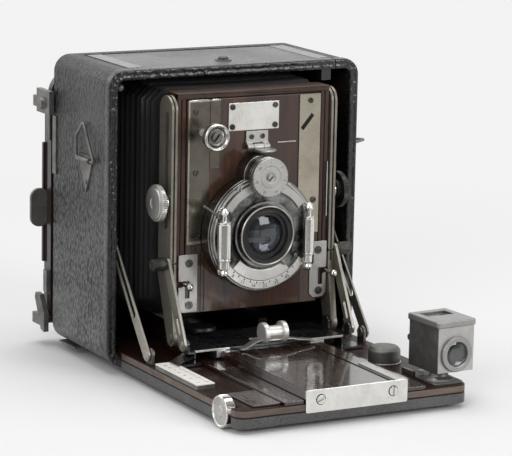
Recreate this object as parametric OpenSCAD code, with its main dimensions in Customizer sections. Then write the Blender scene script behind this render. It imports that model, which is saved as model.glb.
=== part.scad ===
// Folding plate camera with slotted uprights, a dropping bed and a hinged roof flap.
// Millimetres. +Z up, the lens looks along -Y. The origin is the mouth of the tripod bush, in the underside of the body.

/* [Body] */
// Width of the body over its leather
body_w = 150; // [146:0.5:156]
// Height of the body over its leather
body_h = 158.3; // [156:0.1:164]
// Depth of the body from its mouth to the back frame
body_d = 71.6; // [70:0.1:80]
// Rounding of the body's four long edges
edge_r = 9; // [6:0.5:12]
// Thickness of the walls with their leather
wall_t = 5.1; // [4.5:0.1:5.6]
// Thickness of the leather
leather_t = 1; // [0.6:0.1:1.2]
// Height of the feet
foot_h = 5; // [5:0.1:8]
// Distance of the tripod bush behind the mouth
bush_y = 36; // [30:1:50]
// Radius of the bush's threaded hole
bush_r = 2.55; // [2.4:0.05:3.2]

/* [Bed] */
// Reach of the bed in front of the mouth
bed_l = 134.3; // [132:0.1:140]
// Width of the bed
bed_w = 134; // [132:0.5:135]
// Height of the bed's top face above the body's underside
bed_top = 7.3; // [7:0.1:7.6]
// Thickness of the bed with its leather
bed_t = 9.65; // [9.4:0.05:9.8]
// Radius of the focusing wheel
wheel_r = 8.4; // [8:0.1:8.4]
// Radius of the pinion's pitch circle
pinion_r = 3.6; // [3.5:0.05:3.6]
// Half the width of the focusing track
track_x = 29.5; // [28:0.1:29.6]
// Height of the track's top face
track_top = 14; // [13.8:0.1:14]

/* [Standard] */
// Height of the lens axis
lens_z = 72.4; // [70:0.1:76]
// Height of the clamp studs, about which the panel swings
clamp_z = 90; // [88:0.5:94]
// Top of the slotted uprights
upright_top = 146.5; // [144:0.5:148]
// Radius of the big clamp knobs
clamp_knob_r = 9.8; // [9:0.1:11]
// Radius of the shutter case
case_r = 31.3; // [30:0.1:32]
// Radius of the lens barrel's front ring
barrel_r = 16; // [15:0.1:16]
// Radius of the speed dial
dial_r = 10.6; // [10:0.1:11]

/* [Finder] */
// Width of the finder's hood
finder_w = 22.4; // [20:0.1:23]
// Depth of the finder's hood
finder_d = 25.6; // [24:0.1:26]
// Turn of the finder on its foot
finder_turn = 4; // [0:1:6]

/* [Hidden] */
$fn = 64;

// Body values
half_w = body_w / 2;
inner_x = half_w - wall_t;
roof_z = body_h - wall_t;
floor_z = wall_t;
rim_t = 1.2;
mouth_floor_y = 13.6;
flap_x = 60.5;
flap_gap = 0.4;
flap_d = 60.4;
flap_hinge_y = 61.8;
flap_hinge_z = body_h - 1.6;
flap_slot_y = 63.8;
button_r = 3;
button_x = 1;
button_y = 18;
bush_flange_r = 11;
bush_body_r = 8;
bush_depth = 6.5;
foot_r = 4;
foot_x = 57;
foot_y = [20, 56];
rail_x = [24, track_x];
rail_top = track_top - 0.1;
gate_x = 50;
gate_z = [21, 119];
frame_y = 66.5;
back_t = 6.4;
back_x = 75.2;
back_z = [3, 148];
back_round = 12;
back_rebate = 1.8;
back_gate_x = 54;
back_gate_z = [16, 124];
holder_y = [body_d + back_t + 0.1, body_d + back_t + 7];
holder_x = 74;
holder_z = [8, 132];
sheath_z = [26.4, 113.6];
plate_x = 54;
plate_z = [28.5, 111.5];
catch_y = body_d + 4.2;
catch_z = [9, 131];
catch_x = -back_x - 1.2;
catch_t = 3;
strap_y = 26;
strap_z = 107.5;
strap_barrel_y = [strap_y - 6, strap_y + 9.6];
loop_off = 1.8;
wire_r = 0.8;

// Bed values
bed_bottom = bed_top - bed_t;
bed_hinge_y = 7.5;
bed_hinge_z = bed_bottom + bed_hinge_y;
bed_rear = 11.4;
bed_x = bed_w / 2;
hinge_pin_r = 1.1;
run_gap = 0.07;
wheel_y = -117.5;
wheel_z = 3.4;
wheel_x = [-68.9, -63.5];
pinion_x = [-28.8, -23.2];
pinion_teeth = 12;
tooth_pitch = 2 * PI * pinion_r / pinion_teeth;
tooth_w = 0.62;
tooth_rise = 0.45;
tooth_root = 0.6;
rack_y = [-131, -60];
guide_x = [29.9, 41];
guide_top = 9.4;
track_y = [-134.4, -2];
stay_x = 66.2;
stay_t = 1.2;
stay_foot = [-30, 12.5];
stay_stud = [14, 65.5];
stay_angle = atan2(stay_stud[1] - stay_foot[1], stay_stud[0] - stay_foot[0]);
knob_x = 51;
knob_y = -76;
finder_pivot = [57, -121];
finder_z = [12.2, 36.2];
finder_top = 39.4;
finder_x = 63.2;
finder_y = -113.6;
finder_lens_z = 21.9;

// Standard values
plate_bottom = track_top + 0.2;
plate_top = plate_bottom + 1.2;
spool_z = 22.3;
clip_bottom = guide_top + 0.4;
upright_x = [46, 49.5];
upright_y = [-22.5, -8];
foot_pivot = [-24, 18.5];
arm_pivot = [-41, 18.5];
brace_z = 58;
brace_y = -21;
arm_x = [49.7, 51.3];
clamp_y = -16.5;
stud_r = 2;
frame_x = 45.5;
panel_z = [31, 148];
board_x = 40;
board_y = [-21.2, -17.1];
board_z = [30, 144.3];
dial_z = lens_z + case_r;
case_y = [-33, -21.2];
blade_x = 12;
face_y = case_y[0] - 0.6;
bracket_y = -22;
cylinder_x = 25.2;
cylinder_y = -37.2;
knob_at = [-31.5, 126.8];
tongue_at = [-23.4, 117.6];

// Moves a shape drawn from the middle of the body's mouth to the origin at the bush.
module at_front() {
    translate([0, -bush_y, 0]) children();
}

// Extrudes a flat shape drawn in X and Z along Y.
module along_y(y0, y1) {
    translate([0, y1, 0]) rotate([90, 0, 0]) linear_extrude(y1 - y0) children();
}

// Extrudes a flat shape drawn in Y and Z along X.
module along_x(x0, x1) {
    translate([x0, 0, 0]) rotate([90, 0, 90]) linear_extrude(x1 - x0) children();
}

module along_z(z0, z1) {
    translate([0, 0, z0]) linear_extrude(z1 - z0) children();
}

module rod_x(x0, x1, y, z, r) {
    translate([x0, y, z]) rotate([0, 90, 0]) cylinder(h = x1 - x0, r = r);
}

module rod_y(y0, y1, x, z, r) {
    translate([x, y1, z]) rotate([90, 0, 0]) cylinder(h = y1 - y0, r = r);
}

module rod_z(z0, z1, x, y, r) {
    translate([x, y, z0]) cylinder(h = z1 - z0, r = r);
}

module block(x, y, z) {
    translate([x[0], y[0], z[0]]) cube([x[1] - x[0], y[1] - y[0], z[1] - z[0]]);
}

module area(x, z) {
    translate([x[0], z[0]]) square([x[1] - x[0], z[1] - z[0]]);
}

// A rectangle with true round corners.
module round_area(x, z, r) {
    area([x[0] + r, x[1] - r], z);
    area(x, [z[0] + r, z[1] - r]);
    for (cx = [x[0] + r, x[1] - r], cz = [z[0] + r, z[1] - r])
        translate([cx, cz]) circle(r);
}

// A straight bar with round ends between two points.
module link_area(p, q, w) {
    run = norm(q - p);
    translate(p) rotate(atan2(q[1] - p[1], q[0] - p[0])) {
        translate([0, -w / 2]) square([run, w]);
        circle(w / 2);
        translate([run, 0]) circle(w / 2);
    }
}

// A part of a flat ring between two angles.
module ring_area(r0, r1, a0, a1) {
    reach = 2 * r1;
    mid = (a0 + a1) / 2;
    intersection() {
        difference() {
            circle(r1);
            circle(r0);
        }
        polygon([[0, 0], reach * [cos(a0), sin(a0)], reach * [cos(mid), sin(mid)], reach * [cos(a1), sin(a1)]]);
    }
}

module both_sides() {
    children();
    mirror([1, 0, 0]) children();
}

// A screw head in a plate that faces forward, with its slot.
module front_screw(x, z, y, r, h, turn) {
    difference() {
        rod_y(y - h, y, x, z, r);
        translate([x, y - h, z]) rotate([0, turn, 0]) cube([2.4 * r, h, 0.35 * r], center = true);
    }
}

module outer_area() {
    round_area([-half_w, half_w], [0, body_h], edge_r);
}

module wood_area() {
    t = leather_t;
    round_area([t - half_w, half_w - t], [t, body_h - t], edge_r - t);
}

module mouth_area() {
    area([-inner_x, inner_x], [floor_z, roof_z]);
}

module mouth_cuts() {
    block([-inner_x, inner_x], [-1, mouth_floor_y], [-1, floor_z + 1]);
    block([-flap_x - flap_gap, flap_x + flap_gap], [-1, flap_slot_y], [roof_z - 3, body_h + 1]);
}

module body_carcass() at_front() color([0.20, 0.11, 0.08])
    difference() {
        along_y(rim_t, body_d) wood_area();
        along_y(-1, body_d + 1) mouth_area();
        mouth_cuts();
        rod_z(-1, floor_z + 1, 0, bush_y, bush_body_r + 0.05);
    }

module leather_cover() at_front() color([0.12, 0.12, 0.13])
    difference() {
        union() {
            difference() {
                along_y(rim_t, body_d - 1) outer_area();
                along_y(-1, body_d + 1) wood_area();
            }
            difference() {
                along_y(0, rim_t) outer_area();
                along_y(-1, body_d + 1) mouth_area();
            }
        }
        mouth_cuts();
        rod_z(-1, floor_z, 0, bush_y, bush_flange_r + 0.1);
    }

// Four feet, a thin plate over each rear foot, and the tripod bush.
module base_fittings() at_front() color([0.55, 0.52, 0.45]) {
    for (x = [-foot_x, foot_x], y = foot_y)
        rod_z(-foot_h, 0, x, y, foot_r);
    both_sides() block([foot_x - 5, half_w - 2], [foot_y[1] - 10, foot_y[1] + 10], [-1, 0]);
    difference() {
        union() {
            rod_z(0, leather_t, 0, bush_y, bush_flange_r);
            rod_z(0, bush_depth + 1, 0, bush_y, bush_body_r);
        }
        rod_z(-1, bush_depth, 0, bush_y, bush_r);
    }
}

// Rails for the carriage on the floor, and the frame that holds the bellows.
module inner_frame() at_front() color([0.24, 0.12, 0.08]) {
    both_sides() block(rail_x, [mouth_floor_y + 1, frame_y], [floor_z, rail_top]);
    along_y(frame_y, body_d - 0.1) difference() {
        mouth_area();
        area([-gate_x, gate_x], gate_z);
    }
}

// Pins of the bed and of the roof flap, studs in the slots of the stays, ball catch in the mouth and side strips.
module body_pins() at_front() color([0.68, 0.66, 0.60]) {
    both_sides() {
        rod_x(60, inner_x, bed_hinge_y, bed_hinge_z, hinge_pin_r);
        rod_x(65, inner_x, stay_stud[0], stay_stud[1], 1.6);
        rod_x(64.2, 65, stay_stud[0], stay_stud[1], 2.8);
    }
    rod_x(-inner_x, -67.4, 3.6, 148.9, 1.4);
    translate([-67.2, 3.6, 148.9]) sphere(2.1);
    rod_x(-flap_x - flap_gap, flap_x + flap_gap, flap_hinge_y, flap_hinge_z, 0.6);
    block([-half_w - 0.8, -half_w], [66, body_d - 1.2], [93, 125]);
    block([-back_x - 1, -back_x], [body_d + back_rebate, body_d + back_t - 0.2], [110.7, 126]);
    block([-back_x - 2.4, -back_x], [body_d + back_rebate, body_d + back_t - 0.2], [25.4, 37.8]);
}

// Pointed plates on the sides, with the barrels that hold the strap loops.
module strap_plates() at_front() color([0.30, 0.29, 0.28])
    both_sides() difference() {
        union() {
            along_x(half_w, half_w + 0.9)
                polygon([[strap_y + 0.7, 90], [strap_y + 6.5, 102], [strap_y + 9.8, strap_z + 2.4],
                    [strap_y - 7.6, strap_z + 2.4], [strap_y - 5, 102]]);
            rod_x(half_w + 0.9, half_w + 1.4, strap_y + 0.7, 95.5, 1.3);
            block([half_w, half_w + loop_off], strap_barrel_y, [strap_z - 1.5, strap_z + 1.5]);
            translate([half_w + loop_off, strap_barrel_y[1], strap_z]) rotate([90, 0, 0])
                cylinder(h = strap_barrel_y[1] - strap_barrel_y[0], r = 1.5);
        }
        translate([half_w + loop_off, strap_barrel_y[1] + 1, strap_z]) rotate([90, 0, 0])
            cylinder(h = strap_barrel_y[1] - strap_barrel_y[0] + 2, r = wire_r + run_gap);
    }

// A wire from p to q with a round bend at q.
module wire(p, q) {
    d = q - p;
    translate(p) rotate([0, acos(d[2] / norm(d)), atan2(d[1], d[0])]) cylinder(h = norm(d), r = wire_r);
    translate(q) sphere(1.15 * wire_r);
}

// A loop with a shoulder behind that hangs on its own base wire.
module strap_loop() {
    ends = [[0, -11, 0], [0, 11, 0], [0, 11.4, 11.7], [0, 3.4, 19.4], [0, 1.8, 19.4]];
    for (i = [0:4])
        wire(ends[i], ends[(i + 1) % 5]);
}

module strap_loop_left() at_front() color([0.35, 0.34, 0.32])
    translate([-half_w - loop_off, strap_y, strap_z]) strap_loop();

module strap_loop_right() at_front() color([0.35, 0.34, 0.32])
    translate([half_w + loop_off, strap_y, strap_z]) rotate([0, 90, 0]) strap_loop();

// Plain tube over a stretch of the bellows.
module bellows_tube(y, x, z, t) {
    along_y(y[0], y[1]) difference() {
        area([-x, x], z);
        area([t - x, x - t], [z[0] + t, z[1] - t]);
    }
}

module bellows_rear() at_front() color([0.08, 0.08, 0.08])
    bellows_tube([19.5, frame_y - 0.1], 57, [15, 149.5], 6);

module bellows_rib() at_front() color([0.10, 0.10, 0.10])
    bellows_tube([17.5, 19.3], 52, [22, 149], 7);

module bellows_front() at_front() color([0.08, 0.08, 0.08])
    bellows_tube([-7.8, 17.3], 50, [30, 149], 8);

// Square frame behind the body that takes the plate holder.
module back_frame() at_front() color([0.22, 0.11, 0.08])
    difference() {
        union() {
            along_y(body_d, body_d + back_rebate) round_area([2 - back_x, back_x - 2], back_z, back_round);
            along_y(body_d + back_rebate, body_d + back_t) round_area([-back_x, back_x], back_z, back_round);
        }
        block([-back_gate_x, back_gate_x], [body_d - 1, body_d + back_t + 1], back_gate_z);
        for (z = catch_z)
            rod_x(-back_x - 1, -back_x + 6, catch_y, z, 1.5 + run_gap);
    }

module plate_holder() at_front() color([0.16, 0.09, 0.07])
    difference() {
        union() {
            along_y(holder_y[0], holder_y[1]) round_area([-holder_x, holder_x], holder_z, 3);
            block([-holder_x - 1.6, 0], [holder_y[1] - 2, holder_y[1]], [41, 108]);
        }
        block([-51, 51], [holder_y[0] - 1, holder_y[0] + 2], [31, 109]);
        block([-holder_x - 1, 56], [holder_y[0] + 0.8, holder_y[0] + 1.8], [sheath_z[0] - 0.4, sheath_z[1] + 0.4]);
        block([-plate_x - 0.2, plate_x + 0.2], [holder_y[0] + 1.8, holder_y[0] + 3.9],
            [plate_z[0] - 0.2, plate_z[1] + 0.2]);
    }

module glass_plate() at_front() color([0.55, 0.60, 0.60])
    block([-plate_x, plate_x], [holder_y[0] + 2.3, holder_y[0] + 3.8], plate_z);

// Thin slide in front of the plate, with its round pull tab.
module sheath() at_front() color([0.30, 0.29, 0.28]) {
    y0 = holder_y[0] + 0.95;
    block([-holder_x - 0.1, 55.5], [y0, y0 + 0.7], sheath_z);
    along_y(y0 - 0.6, y0 + 1.4) round_area([-84.8, -holder_x - 0.1], [61.9, 83.3], 5);
}

// A turning catch on the left edge of the back frame: its lip lies behind the plate holder.
module back_catch(z) {
    rod_x(catch_x - 1, -back_x + 5, catch_y, z, 1.5);
    block([catch_x - catch_t, catch_x], [catch_y - 2.6, 88.6], [z - 3, z + 3]);
    block([catch_x - catch_t, -66], [85.5, 88.6], [z - 3, z + 3]);
}

module back_catch_upper() at_front() color([0.38, 0.37, 0.35]) {
    back_catch(catch_z[1]);
    block([catch_x - catch_t, catch_x], [67, 84], [catch_z[1] - 5.5, catch_z[1] + 7.5]);
    rod_x(catch_x - catch_t - 2.2, catch_x, catch_y, catch_z[1], 3.2);
}

module back_catch_lower() at_front() color([0.38, 0.37, 0.35]) {
    back_catch(catch_z[0]);
    along_x(catch_x - catch_t, catch_x)
        polygon([[72.6, 3.2], [77, 4], [85.4, 21], [84.4, 23.8], [79, 23.4], [72.6, 14]]);
}

module top_flap() at_front() color([0.20, 0.11, 0.08])
    difference() {
        union() {
            block([-flap_x, flap_x], [rim_t, flap_d], [roof_z, body_h - leather_t]);
            block([53, 58.8], [1.6, 6.4], [147, roof_z]);
            for (x = [-43, 0, 43]) {
                rod_x(x - 7, x + 7, flap_hinge_y, flap_hinge_z, 1.2);
                block([x - 7, x + 7], [flap_d, flap_hinge_y], [flap_hinge_z - 0.9, flap_hinge_z + 0.6]);
            }
        }
        rod_x(-flap_x, flap_x, flap_hinge_y, flap_hinge_z, 0.6 + run_gap);
        rod_z(body_h - 2.6, body_h, button_x, button_y, button_r + 0.1);
    }

module flap_leather() at_front() color([0.12, 0.12, 0.13])
    difference() {
        union() {
            block([-flap_x, flap_x], [0, flap_d], [body_h - leather_t, body_h]);
            block([-flap_x, flap_x], [0, rim_t], [roof_z, body_h - leather_t]);
            both_sides() block([52, flap_x], [8, flap_d - 1], [body_h, body_h + 0.3]);
            rod_z(body_h - leather_t, body_h + 0.8, button_x, button_y, 4.6);
        }
        rod_z(roof_z, body_h + 1, button_x, button_y, button_r + 0.1);
    }

module release_button() at_front() color([0.25, 0.24, 0.24])
    translate([button_x, button_y, body_h - 1]) rotate_extrude()
        polygon([[0, 0], [button_r, 0], [button_r, 2.6], [2.2, 3.3], [0, 3.6]]);

// Bed

module bed_area() {
    difference() {
        round_area([-bed_x, bed_x], [-bed_l, bed_rear], 6);
        area([-bed_x - 1, -62.9], [wheel_y - 9.5, wheel_y + 9.5]);
    }
    area([-bed_x, bed_x], [bed_rear - 8, bed_rear]);
}

module bed_board() at_front() color([0.22, 0.09, 0.06])
    difference() {
        along_z(bed_bottom + leather_t, bed_top) bed_area();
        both_sides() rod_x(59.5, bed_x + 1, bed_hinge_y, bed_hinge_z, hinge_pin_r + run_gap);
        rod_x(-64, pinion_x[0], wheel_y, wheel_z, 1.5 + run_gap);
        block([pinion_x[0] - 0.4, pinion_x[1] + 0.4], [wheel_y - 4.8, wheel_y + 4.8], [-1, bed_top + 1]);
        block([pinion_x[0] - 0.4, pinion_x[1] + 0.4], [-bed_l - 1, -45], [6.2, bed_top + 1]);
        rod_z(2, bed_top + 1, knob_x, knob_y, 2 + run_gap);
    }

module bed_leather() at_front() color([0.12, 0.12, 0.13])
    along_z(bed_bottom, bed_bottom + leather_t) bed_area();

// Guides beside the track, and the cover over the pinion's shaft.
module bed_guides() at_front() color([0.20, 0.08, 0.06]) {
    both_sides() block(guide_x, [-bed_l, -2], [bed_top, guide_top]);
    block([-57, -guide_x[1] - 0.2], [-131, -104], [bed_top, bed_top + 1.3]);
}

module scale_plate() at_front() color([0.86, 0.84, 0.76])
    block([-66.8, -56.4], [-89, -41.2], [bed_top, bed_top + 3]);

// Lugs of the stays, foot of the finder and its stop.
module bed_fittings() at_front() color([0.70, 0.68, 0.62]) {
    both_sides() difference() {
        union() {
            block([63.3, 65], [stay_foot[0] - 3.5, stay_foot[0] + 3.5], [bed_top, stay_foot[1]]);
            rod_x(63.3, 65, stay_foot[0], stay_foot[1], 3.5);
        }
        rod_x(62, 66, stay_foot[0], stay_foot[1], 1.5 + run_gap);
    }
    along_z(bed_top, bed_top + 1.1) round_area([48, 66], [-131, -111], 2);
    rod_z(bed_top + 1, finder_z[0] - 0.2, finder_pivot[0], finder_pivot[1], 4);
    rod_z(finder_z[0] - 1, finder_z[0] + 2.5, finder_pivot[0], finder_pivot[1], 1.5);
    block([49, 51], [-108, -97], [bed_top, bed_top + 2.4]);
}

// Teeth of the rack, halfway between the pinion's teeth.
module rack_area() {
    count = floor((rack_y[1] - rack_y[0]) / tooth_pitch);
    first = wheel_y + tooth_pitch * (0.5 - floor((wheel_y - rack_y[0]) / tooth_pitch));
    pitch_z = wheel_z + pinion_r;
    slope = tan(20);
    root = bed_top + 0.3 - pitch_z;
    for (i = [0:count - 1])
        translate([first + i * tooth_pitch, pitch_z])
            polygon([[-tooth_w / 2 - root * slope, root], [-tooth_w / 2 + tooth_rise * slope, -tooth_rise],
                [tooth_w / 2 - tooth_rise * slope, -tooth_rise], [tooth_w / 2 + root * slope, root]]);
}

module pinion_area() {
    r0 = pinion_r - tooth_root;
    r1 = pinion_r + tooth_rise;
    slope = tan(20);
    circle(r0 + 0.05);
    for (i = [0:pinion_teeth - 1])
        rotate(90 + i * 360 / pinion_teeth)
            polygon([[r0 - 0.3, -tooth_w / 2 - (tooth_root + 0.3) * slope], [r1, -tooth_w / 2 + tooth_rise * slope],
                [r1, tooth_w / 2 - tooth_rise * slope], [r0 - 0.3, tooth_w / 2 + (tooth_root + 0.3) * slope]]);
}

module focus_track() at_front() color([0.22, 0.09, 0.06]) {
    difference() {
        block([-track_x, track_x], track_y, [bed_top + 0.2, track_top]);
        block([19.4, 21], [track_y[0] - 1, -60], [track_top - 1.2, track_top + 1]);
        block([-track_x - 1, -track_x + 1.2], [track_y[0] - 1, track_y[1] + 1], [track_top - 1, track_top + 1]);
    }
    along_x(pinion_x[0], pinion_x[1]) rack_area();
}

// Front plate with its two screws, and the strip on top of the track.
module track_plates() at_front() color([0.80, 0.79, 0.76]) {
    y0 = track_y[0] - 1.1;
    along_y(y0, track_y[0]) round_area([-track_x, track_x], [2.5, track_top + 0.3], 1.2);
    front_screw(-21, 9, y0, 2.6, 0.5, 20);
    front_screw(21, 9, y0, 2.6, 0.5, -5);
    block([22.5, 28.5], [track_y[0], -97], [track_top, track_top + 0.6]);
}

// Milled wheel, its shaft through the bed and the pinion under the track.
module focus_wheel() at_front() color([0.70, 0.68, 0.62]) {
    difference() {
        rod_x(wheel_x[0], wheel_x[1], wheel_y, wheel_z, wheel_r);
        rod_x(wheel_x[0] - 1, wheel_x[0] + 0.8, wheel_y, wheel_z, 5.8);
    }
    rod_x(wheel_x[0], wheel_x[0] + 2, wheel_y, wheel_z, 2.6);
    rod_x(wheel_x[1] - 1, pinion_x[1], wheel_y, wheel_z, 1.5);
    translate([0, wheel_y, wheel_z]) along_x(pinion_x[0], pinion_x[1]) pinion_area();
}

// Slotted stay that holds the bed, drawn along its own length.
module stay(side) {
    reach = norm(stay_stud - stay_foot);
    translate([side * stay_x, stay_foot[0], stay_foot[1]]) rotate([stay_angle, 0, 0]) {
        along_x(-stay_t / 2, stay_t / 2) difference() {
            link_area([0, 0], [reach + 12, 0], 7.2);
            link_area([24, 0], [reach + 9.8, 0], 4);
        }
        mirror([side < 0 ? 1 : 0, 0, 0]) {
            rod_x(-3.6, 1, 0, 0, 1.5);
            rod_x(-3.7, -3, 0, 0, 2.6);
            rod_x(stay_t / 2, 1.2, 0, 0, 2.6);
        }
    }
}

module stay_left() at_front() color([0.45, 0.44, 0.42]) stay(-1);

module stay_right() at_front() color([0.45, 0.44, 0.42]) stay(1);

module bed_knob() at_front() color([0.10, 0.10, 0.10])
    translate([knob_x, knob_y, 0]) rotate_extrude()
        polygon([[0, 2.5], [2, 2.5], [2, 7.4], [9, 7.4], [9, 8.1], [8.6, 8.1], [8.6, 14.4], [7.2, 16], [0, 16.6]]);

// Hollow finder with its lens ring, turned a little on its foot.
module finder_place() {
    translate([finder_pivot[0], finder_pivot[1], 0]) rotate(finder_turn)
        translate([finder_x - finder_pivot[0], finder_y - finder_pivot[1], 0]) children();
}

module finder_hood() at_front() color([0.42, 0.41, 0.39])
    difference() {
        finder_place() difference() {
            hx = finder_w / 2;
            hy = finder_d / 2;
            union() {
                block([-hx, hx], [-hy, hy], finder_z);
                along_z(finder_z[1], finder_top) round_area([-hx - 0.8, hx + 0.8], [-hy - 0.8, hy + 0.8], 1.5);
                rod_y(-hy - 1.9, -hy, 0, finder_lens_z, 9.2);
                rod_x(-hx, hx, hy, 26.5, 1.7);
            }
            block([-hx + 1.2, hx - 1.2], [-hy + 1.2, hy - 1.2], [finder_z[0] + 4, finder_z[1]]);
            block([-7.6, 7.6], [-8.6, 8.6], [finder_z[1] - 1, finder_top + 1]);
            rod_y(-hy - 3, -hy + 2, 0, finder_lens_z, 6.6);
        }
        rod_z(finder_z[0] - 1, finder_z[0] + 3, finder_pivot[0], finder_pivot[1], 1.5 + run_gap);
    }

// Finder lens, top glass and the mirror between them.
module finder_glass() at_front() color([0.75, 0.80, 0.82])
    finder_place() {
        rod_y(-finder_d / 2 - 1.4, -finder_d / 2 + 0.6, 0, finder_lens_z, 6.55);
        block([-7.6, 7.6], [-8.6, 8.6], [finder_top - 2.2, finder_top - 1]);
        translate([0, 1, 26]) rotate([45, 0, 0]) cube([18, 24, 1], center = true);
    }

// Standard

module carriage() at_front() color([0.24, 0.22, 0.21]) {
    block([-45, 45], [-43, -8.2], [plate_bottom, plate_top]);
    both_sides() {
        block([30.2, 33], [-43, -37], [clip_bottom, plate_bottom]);
        block([44, 45], [-43, -35], [8, plate_bottom]);
        block([42, 55.5], [-46, -35], [7.9, 9.2]);
        block([45, upright_x[1]], [-45, -37], [plate_bottom, plate_top]);
        along_x(44.2, upright_x[0]) link_area([foot_pivot[0], plate_bottom + 2], foot_pivot, 7);
        along_x(48, upright_x[1] + 0.1) link_area([arm_pivot[0], plate_bottom + 2], arm_pivot, 6);
    }
}

module upright_area(inset = 0) {
    round_r = (upright_y[1] - upright_y[0]) / 2;
    mid = (upright_y[0] + upright_y[1]) / 2;
    difference() {
        union() {
            area([upright_y[0] + inset, upright_y[1] - inset], [50, upright_top - round_r]);
            translate([mid, upright_top - round_r]) circle(round_r - inset);
            polygon([[-22.5, 52], [-8, 60], [-8, 50], [-19.8, 17], [-28, 17]]);
            translate(foot_pivot) circle(4.5);
        }
        link_area([clamp_y, 78], [clamp_y, 136], 2 * stud_r + 0.3);
        translate([brace_y, brace_z]) circle(1.5 + run_gap);
    }
}

// Each upright is two polished walls with a groove between them along the edge.
module uprights() at_front() color([0.55, 0.52, 0.46])
    both_sides() {
        along_x(upright_x[0], upright_x[0] + 1.3) upright_area();
        along_x(upright_x[0] + 1.3, upright_x[1] - 1.3) upright_area(2.2);
        along_x(upright_x[1] - 1.3, upright_x[1]) upright_area();
        rod_x(upright_x[1], upright_x[1] + 0.8, foot_pivot[0], foot_pivot[1], 2.4);
    }

module brace_arms() at_front() color([0.55, 0.52, 0.46])
    both_sides() {
        along_x(arm_x[0], arm_x[1]) difference() {
            link_area([brace_y, brace_z], arm_pivot, 6.6);
            link_area([-34.6, 31], [-38, 24.2], 2.4);
            translate([brace_y, brace_z]) circle(1.5 + run_gap);
        }
        rod_x(arm_x[1], arm_x[1] + 0.8, arm_pivot[0], arm_pivot[1], 2.2);
    }

// Small knob with a shank through the arm and the upright.
module brace_knob() {
    rod_x(upright_x[0] + 0.3, 52, brace_y, brace_z, 1.5);
    rod_x(51.6, 60, brace_y, brace_z, 3.6);
}

module brace_knob_left() at_front() color([0.14, 0.13, 0.13]) mirror([1, 0, 0]) brace_knob();

module brace_knob_right() at_front() color([0.14, 0.13, 0.13]) brace_knob();

// Spring tongue that clamps the carriage to the track, with its spool-shaped finger piece.
module track_clamp() at_front() color([0.82, 0.81, 0.78]) {
    along_x(-7, 7) polygon([[-34, plate_top + 0.2], [-43, plate_top + 0.2], [-50.5, 18.2], [-50.5, 19.2],
        [-42.8, plate_top + 1.2], [-34, plate_top + 1.2]]);
    along_x(-2.5, 0.5) area([-49.5, -46.5], [17.8, 21]);
    rod_x(-7.6, 7.6, -34, plate_top + 0.7, 0.5);
    rod_x(-5.2, 3.2, -48, spool_z, 3.7);
    rod_x(-8, -5, -48, spool_z, 5.7);
    rod_x(3, 6, -48, spool_z, 5.7);
}

// Studs that run in the uprights' slots and carry the panel.
module clamp_studs() at_front() color([0.60, 0.58, 0.52])
    both_sides() {
        rod_x(41.5, 56.2, clamp_y, clamp_z, stud_r);
        rod_x(49.8, 51.2, clamp_y, clamp_z, 5);
    }

module clamp_knob() {
    difference() {
        union() {
            rod_x(51.4, 53.2, clamp_y, clamp_z, 6);
            rod_x(53, 56.2, clamp_y, clamp_z, clamp_knob_r);
            rod_x(56, 57.2, clamp_y, clamp_z, clamp_knob_r - 1.2);
        }
        rod_x(51, 56.4, clamp_y, clamp_z, stud_r + run_gap);
    }
}

module clamp_knob_left() at_front() color([0.60, 0.58, 0.52]) mirror([1, 0, 0]) clamp_knob();

module clamp_knob_right() at_front() color([0.60, 0.58, 0.52]) clamp_knob();

module panel_frame() at_front() color([0.24, 0.10, 0.07])
    difference() {
        union() {
            along_y(-17, -8) difference() {
                area([-frame_x, frame_x], panel_z);
                area([-30, 30], [42, 128]);
            }
            both_sides() block([board_x + 0.3, frame_x], [-20.9, -17], panel_z);
            block([-frame_x, frame_x], [-20.9, -17], [board_z[1] + 0.2, panel_z[1]]);
        }
        both_sides() rod_x(41.2, 46, clamp_y, clamp_z, stud_r + run_gap);
    }

module lens_board() at_front() color([0.26, 0.10, 0.07])
    along_y(board_y[0], board_y[1]) difference() {
        area([-board_x, board_x], board_z);
        translate([0, lens_z]) circle(17);
    }

// Polished plates on both sides of the board.
module side_plates() at_front() color([0.32, 0.24, 0.20])
    difference() {
        union() {
            block([-39.7, -26.8], [-21.8, board_y[0]], [67.2, 143.8]);
            block([-26.8, -20.6], [-21.6, board_y[0]], [107.2, 143.3]);
            block([26.8, 39.7], [-21.8, board_y[0]], [68.4, 144]);
            for (p = [[-35.2, 137.7], [-34.7, 105.5], [-35.4, 72], [33.5, 140.4], [36.2, 86.3]])
                front_screw(p[0], p[1], -21.8, 1.6, 0.4, 30);
        }
        along_y(-23, -21) link_area([34.5, 133.5], [28.6, 126.2], 1.4);
        rod_y(-23, -21, 0, lens_z, case_r + 0.2);
    }

module left_bracket() {
    along_y(bracket_y, board_y[0]) difference() {
        round_area([-44.2, -33], [30.9, 62], 1);
        area([-40.2, -37.6], [38.4, 47.8]);
        area([-45, -37.6], [44.8, 47.8]);
    }
}

module right_bracket() {
    along_y(bracket_y, board_y[0]) difference() {
        union() {
            round_area([35, 45.4], [32.4, 51], 2.5);
            area([37.4, 45.4], [47, 63.2]);
        }
        area([40.4, 43], [39.2, 48.6]);
        area([40.4, 46], [45.4, 48.6]);
    }
}

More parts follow.
